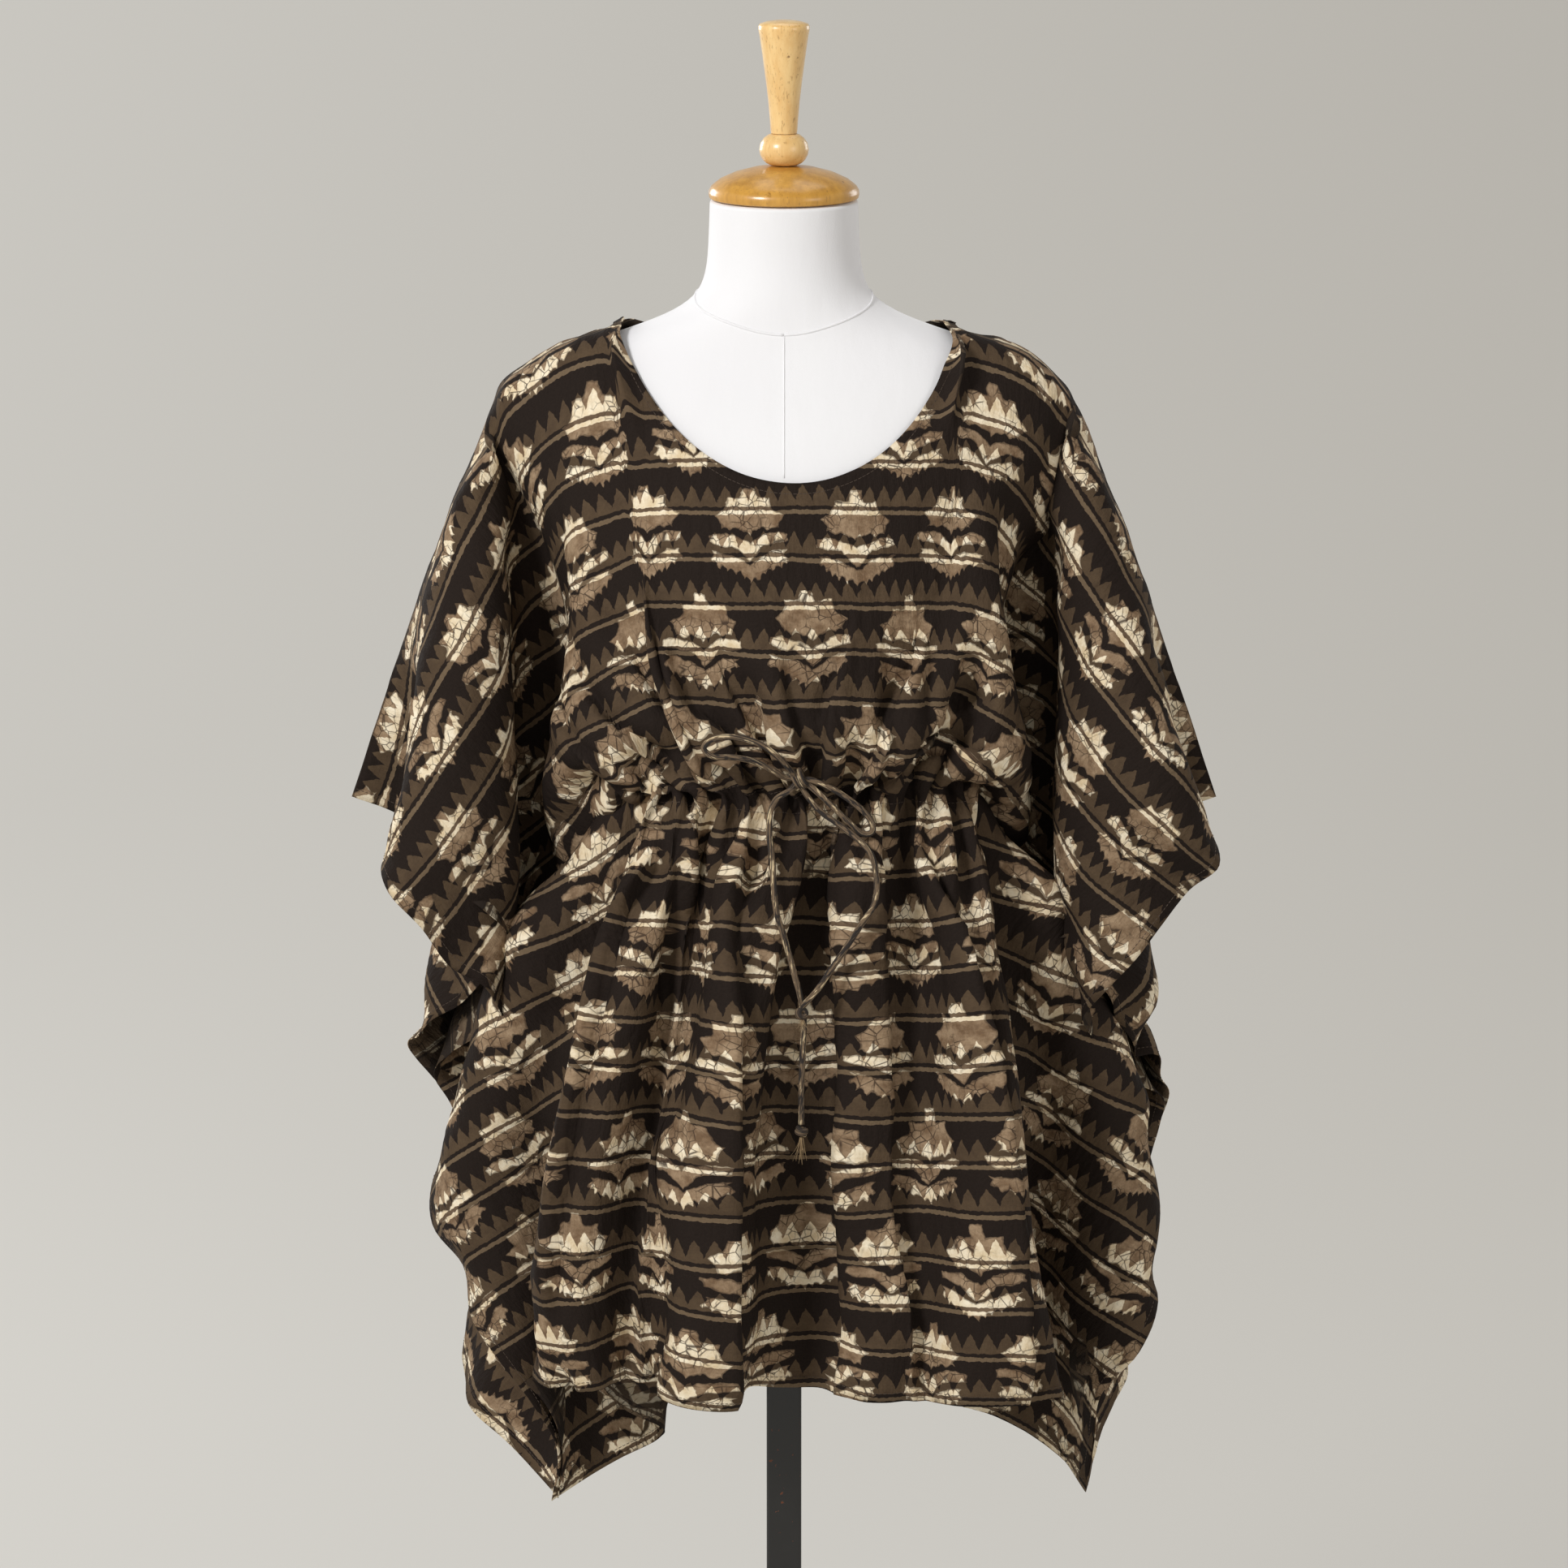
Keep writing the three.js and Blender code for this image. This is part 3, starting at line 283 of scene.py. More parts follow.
def wrapped_knot(name, place, radius, turns, tilt, flat):
    """A knot: the tie's own cloth wound over itself in a few close turns."""
    route = []
    steps = 22
    for k in range(turns * steps + 1):
        turn = 2 * math.pi * k / steps
        lean = (k / (turns * steps) - 0.5) * 2
        wide = radius * (1.0 + 0.12 * math.sin(turn * 0.5 + 1.0))
        spot = Vector((wide * math.cos(turn), wide * flat * math.sin(turn), radius * 0.75 * lean))
        route.append(place + Euler(tilt).to_matrix() @ spot)
    return rolled_tube(name, route, tie_radius * 0.98, 5.0)


bow_size, end_size, knot_turns = 0.0052, 0.0024, 3
left_end_place, right_end_place = Vector((0.012, -0.139, 0.8404)), Vector((0.012, -0.151, 0.9244))
bow_knot = wrapped_knot("bow_knot", knot_place, bow_size, knot_turns, (0.5, 1.15, 0.3), 0.75)
end_left = wrapped_knot("end_knot_left", left_end_place, end_size, knot_turns,
                        (0.2, 0.35, 0.0), 0.95)
end_right = wrapped_knot("end_knot_right", right_end_place, end_size, knot_turns,
                         (1.2, 0.5, 0.4), 0.95)
for piece, node in ((bow_knot, "tie_knot"), (end_left, "tie_end_left"), (end_right, "tie_end_right")):
    piece.data.materials.append(tie_material)
    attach(piece, "root")
    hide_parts(node)

# Below each end knot the strip's cut end frays. The wisps are short lengths of its own
# cotton threads, thinner towards their ends, that hang apart from each other.
wisp_points = []
wisp_faces = []
frayed = np.random.default_rng(7)
for start, drop, count in ((Vector((0.012, -0.139, 0.836)), 0.021, 22),
                           (Vector((0.0125, -0.152, 0.921)), 0.009, 14)):
    for n in range(count):
        spread = Vector((frayed.normal(0, 0.0016), frayed.normal(0, 0.0009), 0.0))
        length = drop * frayed.uniform(0.45, 1.0)
        sway = frayed.normal(0, 0.0022)
        first = len(wisp_points)
        for k in range(6):
            u = k / 5
            middle = start + spread * (0.4 + 1.1 * u) + Vector((sway * u * u, 0.0, -length * u))
            r = 0.00022 * (1 - 0.6 * u)
            for m in range(3):
                turn = 2 * math.pi * m / 3
                wisp_points.append(middle + Vector((r * math.cos(turn), r * math.sin(turn), 0)))
        for k in range(5):
            for m in range(3):
                a, b = first + 3 * k + m, first + 3 * k + (m + 1) % 3
                wisp_faces.append((a, a + 3, b + 3, b))
        wisp_faces.append((first, first + 1, first + 2))
        wisp_faces.append((first + 17, first + 16, first + 15))
wisp_mesh = bpy.data.meshes.new("tie_wisps")
wisp_mesh.from_pydata(wisp_points, [], wisp_faces)
wisps = bpy.data.objects.new("tie_wisps", wisp_mesh)
bpy.context.scene.collection.objects.link(wisps)
thread_material, tree, shader = new_material("cotton_thread", 0.85, 0.2)
spun = tree.nodes.new("ShaderNodeTexCoord")
plied = noise_field(tree, spun.outputs["Object"], 900.0, 2.0)
tree.links.new(mixed(tree, "8a7252", "bda27a", plied), shader.inputs["Base Color"])
bumped(tree, shader, plied, 0.4, 0.0002)
wisps.data.materials.append(thread_material)
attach(wisps, "root")

for part, end, more in (("tail_left", end_left, [wisps]), ("tail_right", end_right, [])):
    piece, route = tie_pieces[part]
    reach = sum((b - a).length for a, b in zip(route, route[1:]))

# The kaftan: one length of block-printed cotton folded over the shoulders, with a neck hole
# and sleeve mouths left open at its sides, and drawn in at the waist by a stitched casing.
half_width, cut_length = 0.520, 0.770
neck_half, neck_front, neck_back = 0.112, 0.130, 0.045
casing, casing_half = 0.354, 0.240
gather_columns, wing_columns, neck_columns = 16, 9, 8
upper_rows, lower_rows, crowd = 12, 12, 1.25
columns = 2 * (gather_columns + wing_columns) + 1
rows = upper_rows + lower_rows + 1


def cut_place(i, j, neck_depth):
    """Where a thread crossing of the CAD cloth's net lies on the flat cut, in metres."""
    k = i - gather_columns - wing_columns
    inner = min(abs(k), gather_columns) / gather_columns
    outer = max(abs(k) - gather_columns, 0) / wing_columns
    hem = math.copysign(inner * casing_half + outer * (half_width - casing_half), k)
    neck_end = neck_columns / gather_columns * casing_half
    if abs(hem) < neck_end:
        turn = hem / neck_end * math.pi / 2
        top = (neck_half * math.sin(turn), neck_depth * math.cos(turn))
    else:
        share = min((abs(hem) - neck_end) / (casing_half - neck_end), 1.0)
        top = (hem + math.copysign((neck_half - neck_end) * (1 - share), hem), 0.0)
    if j <= upper_rows:
        w = 1 - (1 - j / upper_rows) ** crowd
        return (top[0] + (hem - top[0]) * w, top[1] + (casing - top[1]) * w)
    w = ((j - upper_rows) / lower_rows) ** crowd
    return (hem, casing + (cut_length - casing) * w)


def net_of(name, neck_depth, seeds, slack):
    """The places of the CAD cloth's thread crossings, read off its outer face. The net grows
    from its seeds over the face, triangle by triangle. Crossings that the cuts took away are
    first drawn on from their neighbours and then pulled to the lengths of the flat cut. The
    slack is how far a thread's length on the solid may be from its length in the cut."""
    work = bmesh.new()
    work.from_mesh(nodes[name].data)
    bmesh.ops.remove_doubles(work, verts=work.verts, dist=1e-5)
    work.verts.ensure_lookup_table()
    near = KDTree(len(work.verts))
    for vert in work.verts:
        near.insert(vert.co, vert.index)
    near.balance()
    flat = {(i, j): Vector(cut_place(i, j, neck_depth)) for i in range(columns) for j in range(rows)}
    net = {key: work.verts[near.find(place)[1]] for key, place in seeds}
    used = set(net.values())

    def reached(first, second, wanted):
        for edge in net[first].link_edges:
            if edge.other_vert(net[first]) is not net[second]:
                continue
            best = None
            for face in edge.link_faces:
                vert = next(v for v in face.verts if v not in edge.verts)
                if vert in used:
                    continue
                off = 0.0
                for key in (first, second):
                    loose = 2.0 if key[0] != wanted[0] and key[1] != wanted[1] else 1.0
                    ratio = (vert.co - net[key].co).length / (flat[key] - flat[wanted]).length
                    off = max(off, abs(ratio - 1) / (slack * loose))
                if off < 1 and (best is None or off < best[0]):
                    best = (off, vert)
            return best[1] if best else None
        return None

    grown = True
    while grown:
        grown = False
        for j in range(rows - 1):
            for i in range(columns - 1):
                a, b, c, d = (i, j), (i, j + 1), (i + 1, j + 1), (i + 1, j)
                for corners in ((a, b, c), (a, c, d)):
                    missing = [key for key in corners if key not in net]
                    if len(missing) != 1:
                        continue
                    first, second = (key for key in corners if key in net)
                    vert = reached(first, second, missing[0])
                    if vert:
                        net[missing[0]] = vert
                        used.add(vert)
                        grown = True
    found = {key: vert.co.copy() for key, vert in net.items()}
    work.free()
    places = dict(found)
    sides = ((1, 0), (-1, 0), (0, 1), (0, -1))
    while len(places) < columns * rows:
        added = {}
        for key in flat:
            if key in places:
                continue
            guesses = []
            for di, dj in sides:
                one, two = (key[0] + di, key[1] + dj), (key[0] + 2 * di, key[1] + 2 * dj)
                if one in places and two in places:
                    ratio = (flat[key] - flat[one]).length / (flat[one] - flat[two]).length
                    guesses.append(places[one] + (places[one] - places[two]) * min(ratio, 1.5))
            if guesses:
                added[key] = sum(guesses, Vector()) / len(guesses)
        if not added:
            break
        places.update(added)
    for _ in range(120):
        for key in flat:
            if key in found:
                continue
            pull, count = Vector(), 0
            for di, dj in (*sides, (1, 1), (-1, -1), (1, -1), (-1, 1)):
                other = (key[0] + di, key[1] + dj)
                if other in places:
                    gap = places[other] - places[key]
                    rest = (flat[other] - flat[key]).length
                    pull += gap * (1 - rest / max(gap.length, 1e-9))
                    count += 1
            places[key] += pull / count * 0.8
    grid = np.array([[places[(i, j)] for i in range(columns)] for j in range(rows)])
    cut = np.array([[flat[(i, j)] for i in range(columns)] for j in range(rows)])
    return grid, cut


def drawn_between(values, steps):
    """Rows of points with smooth ones put in between, along the first axis."""
    padded = np.concatenate([2 * values[:1] - values[1:2], values, 2 * values[-1:] - values[-2:-1]])
    out = []
    for k in range(1, len(padded) - 2):
        for n in range(steps):
            out.append(between(*padded[k - 1:k + 3], n / steps))
    return np.array([*out, padded[-2]])


def straight_between(values, steps):
    out = []
    for a, b in zip(values, values[1:]):
        for n in range(steps):
            out.append(a + (b - a) * n / steps)
    return np.array([*out, values[-1]])


# The large folds, placed on the flat front panel: where the edge of the fold runs
# (places across, places down from the shoulder), which side stands proud (-1 left, 1 right),
# how far, how wide that side swells, how deep the valley beside it is and how wide.
front_folds = (
    ((-0.072, -0.057, -0.060, -0.056), (0.375, 0.50, 0.67, 0.775), -1, 0.014, 0.055, 0.007, 0.03),
    ((-0.150, -0.128, -0.128, -0.165), (0.385, 0.50, 0.59, 0.775), 1, 0.008, 0.025, 0.010, 0.02),
    ((0.022, 0.051, 0.057, 0.058), (0.370, 0.449, 0.585, 0.775), 1, 0.010, 0.045, 0.012, 0.02),
    ((0.068, 0.076, 0.090, 0.117), (0.370, 0.449, 0.644, 0.775), -1, 0.008, 0.018, 0.006, 0.02),
    ((0.140, 0.165, 0.180, 0.198), (0.390, 0.450, 0.535, 0.775), -1, 0.012, 0.035, 0.011, 0.02),
    ((-0.180, -0.204, -0.207, -0.220), (0.385, 0.454, 0.585, 0.70), -1, 0.010, 0.035, 0.010, 0.015),
    ((-0.110, -0.100, -0.091), (0.215, 0.28, 0.340), -1, 0.008, 0.020, 0.009, 0.010),
    ((-0.060, -0.046, -0.036), (0.240, 0.29, 0.340), -1, 0.006, 0.018, 0.007, 0.009),
    ((-0.014, -0.007, -0.003), (0.255, 0.29, 0.340), -1, 0.006, 0.015, 0.009, 0.008),
    ((0.040, 0.024, 0.014), (0.210, 0.28, 0.340), 1, 0.008, 0.018, 0.008, 0.009),
    ((0.098, 0.066, 0.046), (0.220, 0.29, 0.340), 1, 0.009, 0.020, 0.011, 0.012),
    ((0.162, 0.110, 0.070), (0.268, 0.31, 0.345), 1, 0.009, 0.022, 0.009, 0.010),
    ((0.200, 0.160, 0.110), (0.275, 0.315, 0.345), 1, 0.007, 0.020, 0.007, 0.010),
    ((-0.195, -0.160, -0.135), (0.240, 0.30, 0.350), -1, 0.010, 0.022, 0.009, 0.012),
    ((-0.225, -0.192, -0.165), (0.252, 0.30, 0.350), -1, 0.008, 0.020, 0.008, 0.010),
    ((-0.150, -0.130, -0.112), (0.230, 0.29, 0.345), -1, 0.008, 0.020, 0.009, 0.010),
)
fold_edge = 0.007
gather_count = 22
pleat_pitch, pleat_deep = 0.0127, 0.0011
off_form = 0.0032
across_steps, down_steps = 5, 6
cloth_wall = 0.0006

# The form under the cloth. No crossing of the net may come nearer to it than off_form.
form_mesh = nodes["form_torso"]
form_place = form_mesh.matrix_world
under = BVHTree.FromPolygons([form_place @ v.co for v in form_mesh.data.vertices],
                             [tuple(p.vertices) for p in form_mesh.data.polygons])

# Where three neighbouring thread crossings of each panel lie on the solid: (column, row) of
# the crossing and its place. The rest of the net is followed from them.
front_seeds = (((25, 6), (0.0099, -0.1305, 1.1541)), ((26, 6), (0.0274, -0.1277, 1.1549)),
               ((25, 7), (0.0108, -0.1344, 1.1349)))
back_seeds = (((25, 6), (0.0, 0.1112, 1.1945)), ((26, 6), (0.0177, 0.1135, 1.1954)),
              ((25, 7), (0.0001, 0.1140, 1.1675)))
panels = {}
for name, neck_depth, outward, slack, seeds in (
    ("kaftan_front", neck_front, -1, 0.9, front_seeds),
    ("kaftan_back", neck_back, 1, 0.22, back_seeds),
):
    grid, cut = net_of(name, neck_depth, seeds, slack)
    fine = drawn_between(grid, down_steps)
    fine = drawn_between(fine.transpose(1, 0, 2), across_steps).transpose(1, 0, 2)
    flat = straight_between(cut, down_steps)
    flat = straight_between(flat.transpose(1, 0, 2), across_steps).transpose(1, 0, 2)
    high, wide = fine.shape[:2]
    across = np.gradient(fine, axis=1)
    down = np.gradient(fine, axis=0)
    normal = np.cross(across, down) * outward
    normal /= np.linalg.norm(normal, axis=2, keepdims=True) + 1e-12
    lift = np.zeros((high, wide))

    # The gathers: sharp creases that start at the casing, lean outwards, open and die away.
    creases = np.random.default_rng(11 if outward < 0 else 12)
    gone = flat[:, :, 1] - casing
    for n in range(gather_count):
        middle = (2 * n - gather_count + 1) / gather_count * casing_half + creases.normal(0, 0.004)
        slant = 0.42 * middle / casing_half + creases.normal(0, 0.07)
        wide_at = creases.uniform(0.0030, 0.0052)
        deep = creases.uniform(0.005, 0.0125)
        long_up, long_down = creases.uniform(0.05, 0.16), creases.uniform(0.04, 0.20)
        spread = 1 + np.abs(gone) / 0.06
        fade = np.where(gone < 0, np.exp(gone / long_up), np.exp(-gone / long_down))
        off = (flat[:, :, 0] - middle - slant * np.abs(gone)) / (wide_at * spread)
        steep, gentle = np.exp(-np.abs(off) ** 1.2), np.exp(-np.abs(off / 2.2) ** 1.2)
        lift -= deep * fade * np.where(off < 0, steep, gentle)

    # The cloth stands off the form round the casing and blouses over it.
    lift += 0.0048 * np.exp(-np.abs(gone) / 0.09)
    lift += 0.0045 * np.exp(-((gone + 0.045) / 0.03) ** 2) * (gone < 0)

    # The large folds: the proud side swells up to its edge and drops into the valley over a
    # narrow strip, which slides sideways so that it is steep and the cloth keeps its length.
    slide = np.zeros((high, wide))
    placed = front_folds if outward < 0 else ()
    for places, downs, proud, height, swell, valley, valley_wide in placed:
        at = np.interp(flat[:, :, 1], downs, places)
        fade = np.clip((flat[:, :, 1] - downs[0]) / 0.05 + 0.3, 0, 1)
        fade *= np.clip((downs[-1] - flat[:, :, 1]) / 0.03 + 0.5, 0, 1)
        past = (at - flat[:, :, 0]) * proud
        lift += fade * np.where(
            past < 0, height * np.exp(np.minimum(past, 0) / swell),
            np.where(past < fold_edge, height - (height + valley) * past / fold_edge,
                     -valley * np.exp(-(past - fold_edge) / valley_wide)))
        slide += fade * proud * fold_edge * np.where(
            past < 0, 0, np.where(past < fold_edge, past / fold_edge,
                                  np.exp(-(past - fold_edge) / 0.05)))

    # The casing's small pleats, and the rumpling of washed cotton all over.
    for j in range(high):
        for i in range(wide):
            s, t = flat[j, i]
            drawn = math.exp(-abs(t - casing) / 0.03) * min(1, max(0, (casing_half - abs(s)) / 0.03))
            uneven = 1.6 * noise.noise(Vector((s * 30, t * 6, 1)))
            pleat = math.sin(2 * math.pi * (s / pleat_pitch + uneven))
            rumple = noise.noise(Vector((s * 26, t * 15, 3.7))) * 0.0023
            crease = noise.noise(Vector((s * 85, t * 48, 9.1))) * 0.0005
            lift[j, i] += drawn * pleat * pleat_deep + rumple + crease
    across /= np.linalg.norm(across, axis=2, keepdims=True) + 1e-12
    fine = fine + normal * lift[:, :, None] + across * slide[:, :, None]
    if outward > 0:
        # The shoulders: the back's top edge lies against the front's, and its lower left
        # corner is drawn in behind the front's wing.
        shoulder = panels["kaftan_front"]["fine"][0] + np.array([0.0, 0.0003, 0.0])
        seamed = flat[0, :, 1] < 1e-6
        pull = np.where(seamed[:, None], shoulder - fine[0], 0.0)
        fine += pull[None, :, :] * np.exp(-flat[:, :, 1:] / 0.035)
        corner = fine[-1, 0] if fine[-1, 0, 0] < 0 else fine[-1, -1]
        far = np.linalg.norm(fine - corner, axis=2, keepdims=True)
        fine += np.array([0.009, 0.004, 0.0]) * np.exp(-(far / 0.09) ** 2)
    for j in range(high):
        for i in range(wide):
            spot = Vector(fine[j, i])
            near, out, _, _ = under.find_nearest(spot, 0.04)
            if near is not None and (spot - near).dot(out) < off_form:
                fine[j, i] = near + out * off_form
    mesh = bpy.data.meshes.new(name + "_cloth")
    faces = []
    for j in range(high - 1):
        for i in range(wide - 1):
            a, b = j * wide + i, (j + 1) * wide + i
            faces.append((a, b, b + 1, a + 1) if outward < 0 else (a, a + 1, b + 1, b))
    mesh.from_pydata(fine.reshape(-1, 3).tolist(), [], faces)
    layer = mesh.uv_layers.new(name="cut")
    spots = flat.reshape(-1, 2) * np.array([1.0, -outward])
    verts = np.zeros(len(mesh.loops), dtype=np.int32)
    mesh.loops.foreach_get("vertex_index", verts)
    layer.data.foreach_set("uv", spots[verts].reshape(-1))
    mesh.polygons.foreach_set("use_smooth", [True] * len(mesh.polygons))
    piece = bpy.data.objects.new(name + "_cloth", mesh)
    bpy.context.scene.collection.objects.link(piece)
    panels[name] = {"piece": piece, "fine": fine, "normal": normal}


def printed(name, faded):
    """The block print on near-black cotton: rows of teeth over a thin line, and lotus motifs
    across pairs of rows. The wrong side of the cloth shows it fainter."""
    material, tree, shader = new_material(name, 0.85)
    shader.inputs["Specular IOR Level"].default_value = 0.12
    flat_place = tree.nodes.new("ShaderNodeUVMap")
    flat_place.uv_map = "cut"
    place = flat_place.outputs["UV"]
    parts = tree.nodes.new("ShaderNodeSeparateXYZ")
    tree.links.new(place, parts.inputs[0])
    wander = [noise_field(tree, stretched(tree, place, (1.0, 1.0, 1.0 + k)), scale, 1.0)
              for k, scale in enumerate((260.0, 300.0, 14.0, 11.0, 75.0, 66.0))]
    x = Field(tree, parts.outputs[0]) * 1000.0 + wander[0] * 2.2 + wander[2] * 7.0
    y = Field(tree, parts.outputs[1]) * 1000.0 + wander[1] * 2.2 + wander[3] * 9.0
    row_pitch, tooth_pitch = 32.5, 10.6
    up = y * -1.0 + 5000.0
    h = up % row_pitch
    row = (up / row_pitch).step("FLOOR")
    line = h.below(2.9)
    tooth_x = (x + row * 3.7 + wander[2] * 9.0) % tooth_pitch
    from_tip = (tooth_x / tooth_pitch - 0.5).size() * 2.0
    tooth_top = (from_tip * -7.4 - from_tip * from_tip * 3.8) + 18.4 + wander[3] * 3.4
    teeth = (h - tooth_top).below(0.0, 0.4) * h.above(5.7)

    # The lotus: a toothed fan over two drooping leaves, with a pair of ragged leaves below.
    # Each part is a distance in millimetres, under zero inside.
    block_wide, block_high = 71.0, 72.5
    pair = up - 6.0
    motif_row = (pair / block_high).step("FLOOR")
    along = x + (motif_row % 2.0) * 36.0 + motif_row * 2.0
    printed_at = (along / block_wide).step("FLOOR") * 2.1 + motif_row * 3.3
    mx = (along % block_wide) - 35.5 + (wander[4] - 0.5) * 8.0
    my = (pair % block_high) - 36.0 + (wander[5] - 0.5) * 6.0 + printed_at.step("SINE") * 3.0
    wide = mx.size()
    fan_x, fan_y = wide / 23.5, (my - 9.5) / 22.5
    fan_turn = fan_x.step("ARCTAN2", fan_y)
    petals = (fan_turn * 4.7).step("SINE").size() * 0.19
    fan = ((fan_x * fan_x + fan_y * fan_y) ** 0.5 - 1.0 + petals) * 20.0
    bottom = (wide * 0.8).step("SINE") * 0.9 + 5.2 - (wide * -1.0 + 6.0).most(0.0) * 0.8
    fan = fan.most(bottom - my)
    knob = (wide + my * 0.3 - 13.6).most(my - 34.5).most(my * -1.0 + 20.0)
    leaf_line = wide * 0.36 - wide * wide * 0.0064 - 6.0
    leaf_half = 3.9 - 0.013 * (wide - 15.0) * (wide - 15.0)
    leaves = ((my - leaf_line).size() - leaf_half).most(wide - 26.5)
    heart = (wide - my - 17.0).most(my - leaf_line - 1.0)
    ragged = (wide * 0.62).step("SINE").size() * 3.0
    lower = (wide * 0.5 - 31.5 + ragged - my).most(my - wide * 0.72 + wide * wide * 0.0145 + 19.0)
    lower = lower.most(wide - 24.5 + (my * 0.9).step("SINE") * 1.2)
    motif_far = fan.least(knob).least(leaves).least(heart).least(lower)
    motif = motif_far.below(0.0, 0.35)
    rim = motif_far.above(-0.75, 0.5) * motif
    veins = ((wide * 0.5).step("SINE").size() - 0.12).below(0.0, 0.2) * motif

    cells = tree.nodes.new("ShaderNodeTexVoronoi")
    cells.feature = "DISTANCE_TO_EDGE"
    cells.inputs["Scale"].default_value = 150.0
    tree.links.new(place, cells.inputs["Vector"])
    crackle = Field(tree, cells.outputs["Distance"]).below(0.035, 0.05)
    patches = noise_field(tree, place, 38.0, 3.0).above(0.47, 0.08)
    mottle = noise_field(tree, place, 620.0, 3.0, 0.7)

    olive_rows = teeth.most(line)
    wear = noise_field(tree, place, 75.0, 4.0, 0.65).above(0.5, 0.28)
    ground = mixed(tree, "1b1512", "2a211c", mottle)
    tones = []
    for worn, fresh in ((("41352a", "524232"), ("4d3f30", "5d4c3a")),
                        (("5c4a3a", "84694f"), ("88715a", "b39b7e")),
                        (("c6ac86", "e6d4b2"), ("e8d8ba", "fbf2de"))):
        tones.append(mixed(tree, mixed(tree, *worn, mottle), mixed(tree, *fresh, mottle), wear))
    olive, tan, cream = tones
    color = mixed(tree, ground, olive, teeth)
    color = mixed(tree, color, mixed(tree, "5d4e3d", "75634e", mottle), line)
    color = mixed(tree, color, tan, motif)
    color = mixed(tree, color, cream, motif * olive_rows)
    color = mixed(tree, color, "3a2d25", motif * crackle * patches * 0.9)
    color = mixed(tree, color, "4a3b2f", veins * patches * 0.5)
    color = mixed(tree, color, "41342a", rim * 0.6)
    color = mixed(tree, color, "3a2e26", motif * h.above(2.9) * h.below(5.7) * 0.55)
    if faded:
        color = mixed(tree, color, "2f2823", 0.62)
    tree.links.new(color, shader.inputs["Base Color"])

    weave = noise_field(tree, place, 1400.0, 2.0)
    slubs = noise_field(tree, stretched(tree, place, (60.0, 900.0, 1.0)), 1.0, 2.0)
    wrinkles = noise_field(tree, stretched(tree, place, (95.0, 38.0, 1.0)), 1.0, 4.0, 0.6)
    fine_folds = noise_field(tree, stretched(tree, place, (230.0, 60.0, 1.0)), 1.0, 3.0, 0.6)
    height = wrinkles + fine_folds * 0.45 + slubs * 0.10 + weave * 0.06
    bumped(tree, shader, height, 0.6, 0.0045)
    return material


right_side, wrong_side = printed("printed_cotton", False), printed("printed_cotton_wrong", True)
for name, panel in panels.items():
    piece = panel["piece"]
    piece.data.materials.append(right_side)
    piece.data.materials.append(wrong_side)
    bpy.ops.object.select_all(action="DESELECT")
    piece.select_set(True)
    bpy.context.view_layer.objects.active = piece
    wall = piece.modifiers.new("wall", "SOLIDIFY")
    wall.thickness = cloth_wall
    wall.offset = -1.0
    wall.material_offset = 1
    bpy.ops.object.modifier_apply(modifier="wall")
    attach(piece, "root")
    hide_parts(name)

# Machine stitching in brown thread: one row 7 mm in from the hems and the open sleeve edges,
# one round the neck, and two that hold the drawstring's casing.
stitch_points, stitch_faces = [], []
stitch_long, stitch_gap, thread_radius = 0.0024, 0.0009, 0.00022


def stitched(line, outs):
    """Stitches along a line on the cloth, each a short low thread."""
    lengths = [0.0]
    for a, b in zip(line, line[1:]):
        lengths.append(lengths[-1] + float(np.linalg.norm(b - a)))
    at, k = 0.0015, 0
    while at + stitch_long < lengths[-1]:
        ends = []
        for reach in (at, at + stitch_long / 2, at + stitch_long):
            while lengths[k + 1] < reach:
                k += 1
            share = (reach - lengths[k]) / max(lengths[k + 1] - lengths[k], 1e-9)
            spot = line[k] + (line[k + 1] - line[k]) * share
            ends.append((spot, outs[k]))
        run = ends[-1][0] - ends[0][0]
        run /= np.linalg.norm(run) + 1e-12
        first = len(stitch_points)
        for n, (spot, out) in enumerate(ends):
            side = np.cross(run, out)
            high = thread_radius * (1.2 if n == 1 else 0.2)
            wide = thread_radius * (1.2 if n == 1 else 0.8)
            stitch_points.extend([spot + side * wide, spot + out * high * 2, spot - side * wide,
                                  spot - out * thread_radius])
        for n in range(2):
            for m in range(4):
                a, b = first + 4 * n + m, first + 4 * n + (m + 1) % 4
                stitch_faces.append((a, a + 4, b + 4, b))
        stitch_faces.append((first, first + 1, first + 2, first + 3))
        stitch_faces.append((first + 11, first + 10, first + 9, first + 8))
        at += stitch_long + stitch_gap


casing_row = upper_rows * down_steps
for panel in panels.values():
    fine, normal = panel["fine"], panel["normal"]
    stitched(fine[-2], normal[-2])
    stitched(fine[:, 1], normal[:, 1])
    stitched(fine[:, -2], normal[:, -2])
    neck_cells = slice((gather_columns + wing_columns - neck_columns) * across_steps,
                       (gather_columns + wing_columns + neck_columns) * across_steps + 1)
    stitched(fine[2, neck_cells], normal[2, neck_cells])
    gathered = slice(wing_columns * across_steps, -wing_columns * across_steps)
    for row in (casing_row - 3, casing_row + 3):
        stitched(fine[row, gathered], normal[row, gathered])
stitch_mesh = bpy.data.meshes.new("kaftan_stitches")
stitch_mesh.from_pydata([tuple(p) for p in stitch_points], [], stitch_faces)
stitches = bpy.data.objects.new("kaftan_stitches", stitch_mesh)
bpy.context.scene.collection.objects.link(stitches)
seam_thread, tree, shader = new_material("seam_thread", 0.85)
shader.inputs["Base Color"].default_value = linear("51443a")
stitches.data.materials.append(seam_thread)
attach(stitches, "root")

for name, neck_depth in (("kaftan_front", neck_front), ("kaftan_back", neck_back)):
    more = [stitches] if name == "kaftan_front" else []

